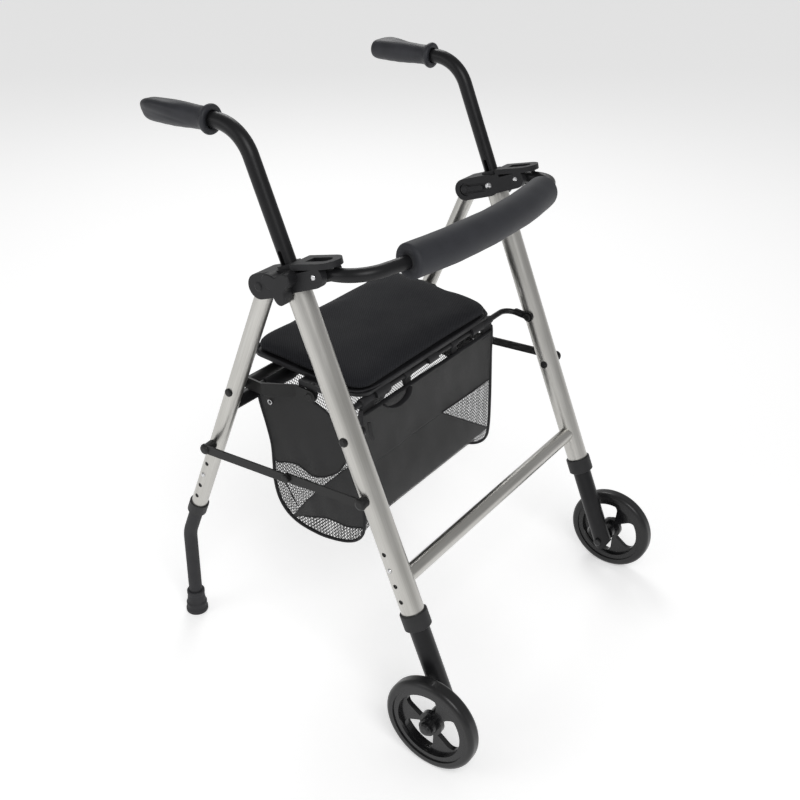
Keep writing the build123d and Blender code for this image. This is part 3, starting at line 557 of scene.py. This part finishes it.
foam_skin = finish(
    "foam_skin", (0.03, 0.031, 0.036), 0.62, Sheen_Weight=0.05, Sheen_Roughness=0.4, Specular_IOR_Level=0.3
)
bubbles = node(foam_skin, "ShaderNodeTexVoronoi", {"Vector": place(foam_skin), "Scale": 900.0})
cells = maths(foam_skin, "MULTIPLY", bubbles.outputs["Distance"], 0.35)
cloud = maths(foam_skin, "MULTIPLY", noise(foam_skin, 30, detail=5), 0.65)
mix = maths(foam_skin, "ADD", cells, cloud)
shade(foam_skin, fit(foam_skin, mix, 0.3, 0.75), (0.019, 0.020, 0.024), (0.035, 0.0365, 0.043))
roughen(foam_skin, mix, 0.52, 0.7)
bump(foam_skin, mix, 0.00035, 0.7)
foam = surface("backrest_foam_sleeve", foam_hose(), wrap=(True, True), solid=True)
finish_piece(foam, foam_skin, "backrest")
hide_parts("backrest_foam")

# %% [markdown]
# The grips are soft moulded rubber with a flange at the front, a waist, a swelling for the palm,
# shallow finger dents underneath and a pointed palm wing at the rear. One radius formula holds all of
# it: a smooth line for the waist and swelling, plus a ridge that grows towards the rear in one
# direction round the grip. The left one is the mirror of the right.


# %% One grip as a radius that depends on place and angle
def grip_surface(side, length=0.119, bore=0.0113, n_round=64):
    """Radius at place z along the grip and angle b round it (0 outwards, 90 degrees up) = waist line +
    wing - dents. The wing is 10.5 mm * ramp(z) * exp(-(b - 34 deg)^2 / 0.22), largest five sixths of
    the way back; dents are 0.3 mm deep."""
    zs = np.array([0, 1.2, 4, 7.5, 12, 20, 34, 52, 68, 84, 98, 110, 116.5, 119]) / 1000
    rs = np.array([17.6, 19.4, 20.2, 19, 16.2, 15.4, 15.9, 16.8, 17.2, 16.9, 16.4, 15.6, 13.6, 10]) / 1000
    line = smooth_line(np.stack([zs, rs], -1), 120)
    z, r0 = line[:, 0][:, None], line[:, 1][:, None]
    b = np.linspace(0, 2 * pi, n_round, endpoint=False)[None, :]
    share = z / length
    grow = np.clip((share - 0.30) / 0.52, 0, 1)
    ramp = grow**2 * (3 - 2 * grow) * (1 - 0.55 * np.clip((share - 0.84) / 0.16, 0, 1) ** 1.3)
    off = np.angle(np.exp(1j * (b - radians(34))))
    wing = 0.0105 * ramp * np.exp(-(off**2) / 0.22)
    middle = np.clip((z - 0.02) / 0.01, 0, 1) * np.clip((0.1 - z) / 0.01, 0, 1)
    dents = 0.0003 * np.clip(-np.sin(b), 0, 1) ** 2 * middle * np.cos(pi * z / 0.0185) ** 2
    fold = np.exp(-((off + 0.75 - 9 * (z - 0.06)) ** 2) / 0.010)
    crease = 0.0006 * fold * np.clip((z - 0.03) / 0.02, 0, 1)
    r = r0 + wing - dents - crease
    z_all = np.concatenate([[[0.112], [0.112], [0.002], [0.0]], z, [[length]]])
    r_all = np.concatenate([[[0.0], [bore], [bore], [bore + 0.0012]] + 0 * b, r, 0 * b])
    x = side * (TUBE_X + r_all * np.cos(b))
    up = r_all * np.sin(b)
    y = grip_at[0] + z_all * cos(GRIP_TILT) + up * sin(GRIP_TILT)
    return np.stack([x, y, grip_at[1] - z_all * sin(GRIP_TILT) + up * cos(GRIP_TILT)], -1)


GRIP_TILT = radians(1.9)
TUBE_X = 0.257  # each side's tubes stand this far out
grip_at = (0.1703, 0.8722)  # y and z of the middle of the grip's front face
grip_rubber = finish("grip_rubber", (0.025, 0.0255, 0.03), 0.5, Specular_IOR_Level=0.35)
fine = noise(grip_rubber, 1100, detail=2)
slow = noise(grip_rubber, 40, detail=4)
fine_share, slow_share = maths(grip_rubber, "MULTIPLY", fine, 0.3), maths(grip_rubber, "MULTIPLY", slow, 0.7)
tone = maths(grip_rubber, "ADD", fine_share, slow_share)
shade(grip_rubber, fit(grip_rubber, tone, 0.3, 0.7), (0.014, 0.0145, 0.0175), (0.029, 0.030, 0.036))
roughen(grip_rubber, tone, 0.38, 0.58)
bump(grip_rubber, fine, 0.00012, 0.6)
for side, name in ((1, "left"), (-1, "right")):
    grip = surface("grip_rubber_" + name, grip_surface(side), wrap=(False, True), solid=True)
    finish_piece(grip, grip_rubber, "handle_" + name)
    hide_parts("grip_" + name)

# %% [markdown]
# The basket is one wide strip of cloth that hangs from the rear crossbar, runs down the back, under the
# load and up the front to the seat rod, with a side panel sewn in at each end. Its section is a line
# through a few points, as a pattern cutter would draw it. The strip bellies a little between the side
# panels and has soft folds that run down the cloth.

# %% The basket's section, from the rear sleeve round to the front hem
lo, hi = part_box("rear_crossbar")
bar_y, bar_z = (lo[1] + hi[1]) / 2, (lo[2] + hi[2]) / 2
_, tube_y, tube_z = next(j["pos_m"] for j in frame["joints"] if j["name"] == "seat_lift")
ROD_R = 0.00475  # the seat's front rod
HALF = 0.182
section = smooth_line(
    np.array(
        [
            (13, -2), (8, -30), (-4, -66), (-14, -100), (-17, -132), (-18, -164), (-26, -196), (-42, -217),
            (-68, -228), (-106, -233), (-146, -228), (-175, -217), (-191, -199), (-195, -171), (-194, -120),
            (-192, -70),
        ]
    )
    / 1000
    + (bar_y, bar_z),
    300,
)
section = np.vstack([section, [(tube_y - 0.0045, tube_z - 0.018)]])
section = even(section, 400)
section_s = along_line(section)
section_length = section_s[-1]
print("section", round(section_length, 3), "m of cloth from sleeve to hem")


# %% [markdown]
# Every panel of the strip is cut from the same curved sheet, so one function gives the place of any
# spot of the cloth: x across the walker and s along the section. The belly is a parabola across. The
# folds are waves that start under the straps and fade towards the bottom. Panels then differ only in
# which spots they cover.


# %% Where a spot of the strip hangs
def strip_point(x, s):
    """x and s are arrays. The section point at s, pushed outwards along its own normal by belly * (1 -
    (x/half)^2) and by folds that run down the cloth. Between the side panels the bottom is drawn up: z
    + (1 - u^6) * softplus(floor - z)."""
    y = np.interp(s, section_s, section[:, 0])
    z = np.interp(s, section_s, section[:, 1])
    slope = np.gradient(section, axis=0)
    slope /= np.linalg.norm(slope, axis=1)[:, None]
    ny = np.interp(s, section_s, slope[:, 1])
    nz = np.interp(s, section_s, -slope[:, 0])
    u = np.clip(x / HALF, -1, 1)
    share = s / section_length
    open_ends = (1 - u**2) ** 0.5
    low_down = np.exp(-(((share - 0.50) / 0.20) ** 2))
    belly = (1 - u**2) * (0.001 * low_down - 0.002 * np.exp(-(((share - 0.86) / 0.08) ** 2)))
    front = np.clip((share - 0.66) / 0.1, 0, 1)
    uneven = 0.6 + 0.4 * np.sin(17 * x + 1.1) * np.sin(6 * share + 0.4)
    folds = open_ends * front * uneven * (
        0.0013 * np.sin(29 * x + 13 * share) * np.sin(pi * np.clip((share - 0.62) / 0.42, 0, 1))
        + 0.0006 * np.sin(71 * x - 21 * share + 1.0)
        + 0.0003 * np.sin(163 * x + 35 * share)
    )
    back = np.clip((0.36 - share) / 0.1, 0, 1) * np.clip(share / 0.05, 0, 1) * open_ends
    folds = folds + back * 0.0012 * np.sin(41 * x + 12 * share + 2.0)
    push = -(belly + folds)
    floor_z = 0.240 + 0.024 * np.clip((bar_y - 0.030 - y) / 0.165, 0, 1)
    lift = (1 - u**6) * 0.004 * np.log1p(np.exp((floor_z - z) / 0.004))
    return np.stack([x + 0 * s, y + ny * push, z + nz * push + lift], -1)


def cloth_patch(name, x_left, x_right, s0, s1, nx=120, ns=120):
    """Panel of the strip between s0 and s1. Its left and right edges may slant: each is a value, or a
    pair for s0 and s1."""
    t = np.linspace(0, 1, ns)[:, None]
    left = np.interp(t, [0, 1], np.broadcast_to(x_left, 2))
    right = np.interp(t, [0, 1], np.broadcast_to(x_right, 2))
    u = np.linspace(0, 1, nx)[None, :]
    x = left + (right - left) * u
    s = s0 + (s1 - s0) * t + 0 * u
    return surface(name, strip_point(x, s), uv=np.stack([x, s], -1), flip=False)


def thicken(piece, thickness):
    wall = piece.modifiers.new("cloth", "SOLIDIFY")
    wall.thickness, wall.offset = thickness, 0
    return piece


# %% [markdown]
# The basket has two cloths. The front is black nylon, a tight shiny weave. The back, the bottom, parts
# of the sides and one front corner are an open net. The net is drawn by the material: two families of
# threads cross in a diamond, and where neither thread runs the cloth is see-through. Real threads as
# geometry would be hundreds of thousands of faces.


# %% Nylon and net
def nylon_cloth(name):
    """Plain weave of 0.9 mm waves, shaded by a slow cloud."""
    soft = {"Sheen_Weight": 0.06, "Sheen_Roughness": 0.35, "Specular_IOR_Level": 0.3}
    m = finish(name, (0.012, 0.012, 0.013), 0.5, **soft)
    split = node(m, "ShaderNodeSeparateXYZ", {0: place(m, source="UV")})
    warp = maths(m, "SINE", maths(m, "MULTIPLY", split.outputs[0], 2 * pi / 0.0009))
    weft = maths(m, "SINE", maths(m, "MULTIPLY", split.outputs[1], 2 * pi / 0.0009))
    weave = fit(m, maths(m, "MULTIPLY", warp, weft), -1, 1)
    cloud = noise(m, 18, detail=5)
    tone = maths(m, "ADD", maths(m, "MULTIPLY", weave, 0.3), maths(m, "MULTIPLY", cloud, 0.7))
    shade(m, fit(m, tone, 0.3, 0.72), (0.008, 0.008, 0.0085), (0.019, 0.019, 0.0195))
    roughen(m, tone, 0.40, 0.60)
    bump(m, maths(m, "ADD", weave, maths(m, "MULTIPLY", cloud, 4.0)), 0.00018, 0.7)
    return m


def open_net(name, pitch=0.0044, thread=0.30):
    """Threads where |sin| of either slanting coordinate is small; the rest is open."""
    m = finish(name, (0.02, 0.02, 0.022), 0.6)
    slanting = place(m, (1 / pitch, 1 / pitch, 1), (0, 0, radians(45)), "UV")
    split = node(m, "ShaderNodeSeparateXYZ", {0: slanting})
    a = maths(m, "ABSOLUTE", maths(m, "SINE", maths(m, "MULTIPLY", split.outputs[0], pi)))
    b = maths(m, "ABSOLUTE", maths(m, "SINE", maths(m, "MULTIPLY", split.outputs[1], pi)))
    gap = maths(m, "MINIMUM", a, b)
    wobble = maths(m, "MULTIPLY", maths(m, "SUBTRACT", noise(m, 260, detail=2), 0.5), 0.15)
    solid = fit(m, maths(m, "ADD", gap, wobble), thread + 0.06, thread - 0.04)
    m.node_tree.links.new(solid, m.node_tree.nodes["Principled BSDF"].inputs["Alpha"])
    shade(m, fit(m, gap, 0, thread), (0.006, 0.006, 0.0065), (0.020, 0.020, 0.021))
    roughen(m, wobble, 0.5, 0.7)
    bump(m, gap, 0.0003, 0.6)
    return m


nylon = nylon_cloth("basket_nylon")
net = open_net("basket_net")
print(nylon.name, net.name)

# %% [markdown]
# Now the panels. The front's window is a triangle with its level edge uppermost, at one end only, so
# the nylon there is cut on a slant and the net fills the rest. All panels meet edge to edge on the same
# curved sheet.

# %% Cut the strip into panels
s_back = section_length * 0.02
# the back wall falls, so its heights are turned about to look up where it meets the bottom
s_turn = float(np.interp(-(bar_z - 0.190), -section[:150, 1], section_s[:150]))
s_low, s_mid = (float(np.interp(z, section[250:, 1], section_s[250:])) for z in (0.268, 0.366))
apex = 0.032
x_end = HALF - 0.002
back_net = cloth_patch("basket_back_net", -HALF, HALF, s_back, s_turn, 100, 60)
bottom = cloth_patch("basket_bottom", -HALF, HALF, s_turn, s_low, 120, 110)
lower = cloth_patch("basket_front_lower", -HALF, (HALF, apex), s_low, s_mid, 120, 60)
upper = cloth_patch("basket_front_upper", -HALF, HALF, s_mid, section_length, 140, 60)
window = cloth_patch("basket_front_window", (HALF - 0.0005, apex), HALF, s_low, s_mid, 50, 40)
print("panels change at", [round(v, 3) for v in (s_back, s_turn, s_low, s_mid, section_length)])

# %% [markdown]
# A side panel is a flat shape with a shallow belly. The net covers all of it, and two nylon pieces are
# sewn on: a deep one below the top edge with a curved lower edge, and on the right a triangular band
# from low at the rear to the front seam. Each is drawn by an upper and a lower line, and the cloth
# between them is filled with straight rows from one to the other.


# %% Side panels
def side_x(y, z, side, lift):
    """How far out the side panel stands: a belly of 5.5 mm that fades to the edges, plus two soft folds."""
    yc, zc = bar_y - 0.085, bar_z - 0.150
    d = ((y - yc) / 0.080) ** 2 + ((z - zc) / 0.075) ** 2
    wave = 0.0009 * np.sin(75 * y + 30 * z) + 0.0006 * np.sin(140 * y - 60 * z)
    return side * (HALF + (0.0055 + wave) * np.exp(-(d**1.2)) + lift)


def ruled(name, side, first, second, lift, n=90, rows=50):
    """Rows of points on straight lines between two drawn lines, then pushed out by side_x."""
    a = even(smooth_line(np.array(first) / 1000 + (bar_y, bar_z), n * 2), n)
    b = even(smooth_line(np.array(second) / 1000 + (bar_y, bar_z), n * 2), n)
    t = np.linspace(0, 1, rows)[:, None, None]
    flat = a[None] * (1 - t) + b[None] * t
    y, z = flat[..., 0], flat[..., 1]
    return surface(name, np.stack([side_x(y, z, side, lift), y, z], -1), uv=flat, flip=side > 0)


# back and up from the rear crossbar, in millimetres
OUTLINE_REAR = [
    (13, -2), (8, -30), (-4, -66), (-14, -100), (-17, -132), (-18, -164), (-26, -196), (-42, -217),
    (-68, -228), (-106, -233),
]
OUTLINE_FRONT = [
    (-106, -233), (-146, -228), (-175, -217), (-191, -199), (-195, -171), (-194, -120), (-192, -70),
    (-190, -30), (-189, 8), (-187, 22),
]
TOP_LINE = [
    (13, -2), (-8, 6), (-60, 8), (-100, 4), (-130, -8), (-150, -18), (-170, -16), (-182, 2),
    (-187, 22),
]
PANEL_LOW = [
    (-17.5, -122), (-28, -126), (-44, -120), (-67, -115), (-81, -119), (-94, -123), (-108, -121),
    (-122, -117), (-136, -108), (-148, -98), (-160, -78), (-193, -60),
]
PANEL_LOW_LEFT = [
    (5, -38), (-8, -44), (-60, -58), (-100, -66), (-150, -74), (-193, -76),
]
PANEL_TOP = [
    (13, -2), (-8, 6), (-60, 8), (-100, 4), (-130, -8), (-150, -18), (-170, -16), (-182, 2),
    (-188, 14),
]
BAND_TOP = [
    (-54, -220), (-78, -186), (-102, -156), (-122, -132), (-142, -110), (-160, -90), (-193, -64),
]
BAND_LOW = [
    (-54, -221), (-78, -210), (-101, -201), (-121, -195), (-141, -193), (-163, -194), (-194, -184),
]
OUTLINE = OUTLINE_REAR[:-1] + OUTLINE_FRONT
cloths = {}
for side, name in ((1, "left"), (-1, "right")):
    cloths["net_" + name] = ruled("basket_side_net_" + name, side, TOP_LINE, OUTLINE, 0.0, 120, 60)
    low_edge = PANEL_LOW if side < 0 else PANEL_LOW_LEFT
    cloths["panel_" + name] = ruled("basket_side_panel_" + name, side, PANEL_TOP, low_edge, 0.0009)
cloths["band_right"] = ruled("basket_side_band_right", -1, BAND_TOP, BAND_LOW, 0.0009)
print(len(cloths), "side cloths")

# %% [markdown]
# Raw edges of cloth fray, so each side seam is closed with a folded binding tape. It is a flat oval
# tube that follows the outline of the side panel. Thinner tapes lie along the cut edges of the panels,
# the windows and the front hem.


# %% Binding tapes
def side_line(points, side, lift=0.0012, n=160):
    yz = even(smooth_line(np.array(points) / 1000 + (bar_y, bar_z), n), n)
    return np.stack([side_x(yz[:, 0], yz[:, 1], side, lift), yz[:, 0], yz[:, 1]], -1)


trims = []
for side, name in ((1, "left"), (-1, "right")):
    rim = side_line(OUTLINE, side, 0.0, 220)
    trims.append(tube("basket_binding_" + name, rim, 0.0032, oval=(1, 0.72)))
    trims.append(tube("basket_top_tape_" + name, side_line(TOP_LINE, side, 0.0, 90), 0.0026, oval=(0.6, 1)))
    low_edge = PANEL_LOW if side < 0 else PANEL_LOW_LEFT
    trims.append(tube("basket_panel_edge_" + name, side_line(low_edge[:-1], side), 0.0011))
    dart = side_line([(-36, -150), (-52, -176), (-66, -196)], side, 0.0006, 30)
    trims.append(tube("basket_dart_" + name, dart, 0.0010))
trims.append(tube("basket_band_edge", side_line(BAND_TOP, -1), 0.0011))
trims.append(tube("basket_band_low", side_line(BAND_LOW[1:], -1), 0.0011))
hem_x = np.linspace(-HALF, HALF, 120)
hem = strip_point(hem_x, np.full(120, section_length))
trims.append(tube("basket_front_hem", hem, 0.0036, across=(0, 0, 1), oval=(0.5, 1.2)))
edge_s = np.linspace(s_low, s_mid, 60)
edge = strip_point(np.interp(edge_s, [s_low, s_mid], [HALF, apex]), edge_s)
trims.append(tube("basket_window_slant", edge + (0, -0.0006, 0), 0.0010, across=(0, 1, 0)))
top_x = np.linspace(apex, HALF, 60)
top_edge = strip_point(top_x, np.full(60, s_mid)) + (0, -0.0006, 0)
trims.append(tube("basket_window_top", top_edge, 0.0010, across=(0, 1, 0)))
print(len(trims), "tapes")

# %% [markdown]
# The back of the cloth is folded into a sleeve round the rear crossbar, and the front hangs from the
# seat rod by four loops of webbing. A loop's section is a closed teardrop: round over the tube, and
# drawn together below it where it is sewn to the hem.


# %% Sleeve and webbing loops
def sleeve(n_long=120, n_round=32):
    """Round sleeve on the rear crossbar; its radius changes by half a millimetre in slow gathers."""
    x = np.linspace(-HALF, HALF, n_long)[:, None]
    a = np.linspace(0, 2 * pi, n_round, endpoint=False)[None, :]
    gather = 0.0005 * np.sin(95 * x + 2 * a) + 0.0004 * np.sin(210 * x - a)
    walls = []
    for r in (0.0128 + gather, 0.0115 + 0 * gather):
        walls.append(np.stack([x + 0 * a, bar_y + r * np.cos(a), bar_z + r * np.sin(a)], -1))
    return np.concatenate([walls[0], walls[1][::-1]])


def webbing_loop(x0, x1, thick=0.0012):
    """Teardrop round the seat rod, carried from x0 to x1. Outer and inner lines are the same teardrop,
    a wall apart."""
    a = np.radians(np.linspace(-58, 238, 40))
    rows = []
    for r in (ROD_R + 0.0004, ROD_R + 0.0004 + thick):
        round_part = np.stack([tube_y - r * np.cos(a), tube_z + r * np.sin(a)], -1)
        apart = r - ROD_R - 0.001
        feet = [(tube_y - 0.0045 - apart, tube_z - 0.026), (tube_y - 0.0045 + apart, tube_z - 0.026)]
        rows.append(np.vstack([feet[:1], round_part, feet[1:]]))
    section_line = np.vstack([rows[1], rows[0][::-1]])
    x = np.linspace(x0, x1, 6)[:, None]
    return np.stack([x + 0 * section_line[:, 0], 0 * x + section_line[:, 0], 0 * x + section_line[:, 1]], -1)


def close_ends(piece):
    """Fill the two open ends of a carried section."""
    work = bmesh.new()
    work.from_mesh(piece.data)
    bmesh.ops.holes_fill(work, edges=[e for e in work.edges if e.is_boundary], sides=200)
    bmesh.ops.recalc_face_normals(work, faces=work.faces)
    work.to_mesh(piece.data)
    work.free()
    return piece


trims.append(surface("basket_sleeve", sleeve(), wrap=(True, True), solid=True))
for k, (x0, x1) in enumerate(((-0.181, -0.152), (-0.073, -0.057), (0.057, 0.073), (0.152, 0.181))):
    loop = surface(f"basket_loop_{k}", webbing_loop(x0, x1), wrap=(False, True), solid=True)
    trims.append(close_ends(loop))
print(trims[-1].name, len(trims), "trims")

# %% [markdown]
# Small fittings finish the cloth: two bright eyelets that were pressed through the side panels'
# corners, a grey plastic hook at the front corner, and a strap that hangs slack beside it. Each is a
# tube on a short line of points.


# %% Eyelets, hook and strap
def ring(x, y, z, radius, n=28):
    """Closed circle in a plane square to X."""
    a = np.linspace(0, 2 * pi, n, endpoint=False)
    return np.stack([np.full(n, x), y + radius * np.cos(a), z + radius * np.sin(a)], -1)


eyelets = []
for k, (x, y, z) in enumerate(((-0.1842, 0.1604, 0.4230), (0.1842, -0.0050, 0.4270))):
    eyelets.append(tube(f"basket_eyelet_{k}", ring(x, y, z, 0.0036), 0.0011, closed=True, sides=10))
hook_knots = [(-176, -24, 449), (-177, -27, 440), (-178, -30, 431), (-177, -32, 425), (-175, -30, 421)]
hook_line = even(smooth_line(np.array(hook_knots) / 1000, 30), 30)
hook = tube("basket_hook", hook_line, 0.0024, oval=(1, 1.6))
strap_knots = [
    (-135, -19, 459), (-128, -24, 452), (-112, -27, 448), (-92, -27, 449), (-76, -24, 453), (-66, -19, 459)
]
strap_line = even(smooth_line(np.array(strap_knots) / 1000, 60), 60)
strap = tube("basket_strap", strap_line, 0.0022, across=(0, 1, 0), oval=(2.2, 0.5))
trims.append(strap)
print("two eyelets, a hook and a strap")

# %% [markdown]
# Finish the basket. The cloth crosses the fold joint, since its front hangs on the front frame and its
# back on the rear frame, so its pieces are tied to neither body. Each is given its finish, the cloths
# also their thickness, and all are fixed where they are made.

# %% Finishes and cloth thickness
webbing = black("basket_webbing", (0.009, 0.009, 0.010), (0.019, 0.019, 0.021), (0.55, 0.75), 1200, 0.00025)


def hang(piece, material, thickness):
    thicken(piece, thickness)
    finish_piece(piece, material, None)
    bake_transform(piece)


for piece in trims:
    finish_piece(piece, webbing, None)
    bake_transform(piece)
for piece in eyelets:
    finish_piece(piece, bright_steel, None)
    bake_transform(piece)
finish_piece(hook, collar_grey, None)
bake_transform(hook)
hang(back_net, net, 0.0004)
hang(bottom, net, 0.0004)
hang(lower, nylon, 0.0010)
hang(upper, nylon, 0.0010)
hang(window, net, 0.0004)
for name, piece in cloths.items():
    is_net = name.startswith("net")
    hang(piece, net if is_net else nylon, 0.0004 if is_net else 0.0010)
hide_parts("basket")

# %% [markdown]
# A studio is a pale floor, a pale surround and a few big soft lamps. One large lamp from above and
# ahead makes long soft highlights on the tubes, a weaker one fills the other side, and a third from
# behind draws the rims of the black parts.

# %% Floor, lamps and surround
floor = surface(
    "floor",
    np.stack(np.meshgrid(np.linspace(-20, 20, 3), np.linspace(-20, 20, 3)) + [np.zeros((3, 3))], -1),
)
pale = finish("pale_floor", (0.86, 0.86, 0.86), 0.9, Emission_Color=(1, 1, 1, 1), Emission_Strength=0.40)
roughen(pale, noise(pale, 6), 0.85, 0.95)
floor.data.materials.append(pale)


def lamp(name, at, aim, size, watts):
    light = bpy.data.lights.new(name, "AREA")
    light.shape, light.size, light.energy = "DISK", size, watts
    thing = bpy.data.objects.new(name, light)
    thing.location = at
    thing.rotation_euler = (Vector(aim) - Vector(at)).to_track_quat("-Z", "Y").to_euler()
    bpy.context.collection.objects.link(thing)


lamp("key", (-1.6, -1.8, 2.6), (0, 0, 0.45), 1.8, 40)
lamp("fill", (-2.4, 1.4, 1.5), (0, 0, 0.5), 1.6, 9)
lamp("rim", (1.8, 1.6, 2.4), (0, 0, 0.6), 1.4, 20)
world = bpy.data.worlds.new("studio")
bpy.context.scene.world = world
world.use_nodes = True
world.node_tree.nodes["Background"].inputs[0].default_value = (1, 1, 1, 1)
world.node_tree.nodes["Background"].inputs[1].default_value = 0.40
bpy.context.scene.view_settings.view_transform = "Standard"
print("floor, three lamps and a white surround")

# %% [markdown]
# The camera stands ahead and to the walker's right, above the seat, and looks down across it. It is
# placed from two angles and a slight roll, which is how a tripod head is set.

# %% Camera
az, el, roll = radians(55.28), radians(-29.25), radians(1.19)
ahead = np.array([sin(az) * cos(el), cos(az) * cos(el), sin(el)])
right = np.cross(ahead, (0, 0, 1))
right /= np.linalg.norm(right)
up = np.cross(right, ahead)
side_axis, up_axis = right * cos(roll) + up * sin(roll), up * cos(roll) - right * sin(roll)
camera = bpy.data.objects.new("camera", bpy.data.cameras.new("camera"))
camera.data.sensor_width, camera.data.lens = 36.0, 48.42
camera.data.shift_x, camera.data.shift_y = 0.0009, -0.0024
turn = Matrix(np.column_stack([side_axis, up_axis, -ahead]).tolist()).to_4x4()
camera.matrix_world = Matrix.Translation((-1.25666, -0.82534, 1.24263)) @ turn
bpy.context.collection.objects.link(camera)
bpy.context.scene.camera = camera
print("camera at", [round(v, 3) for v in camera.location])
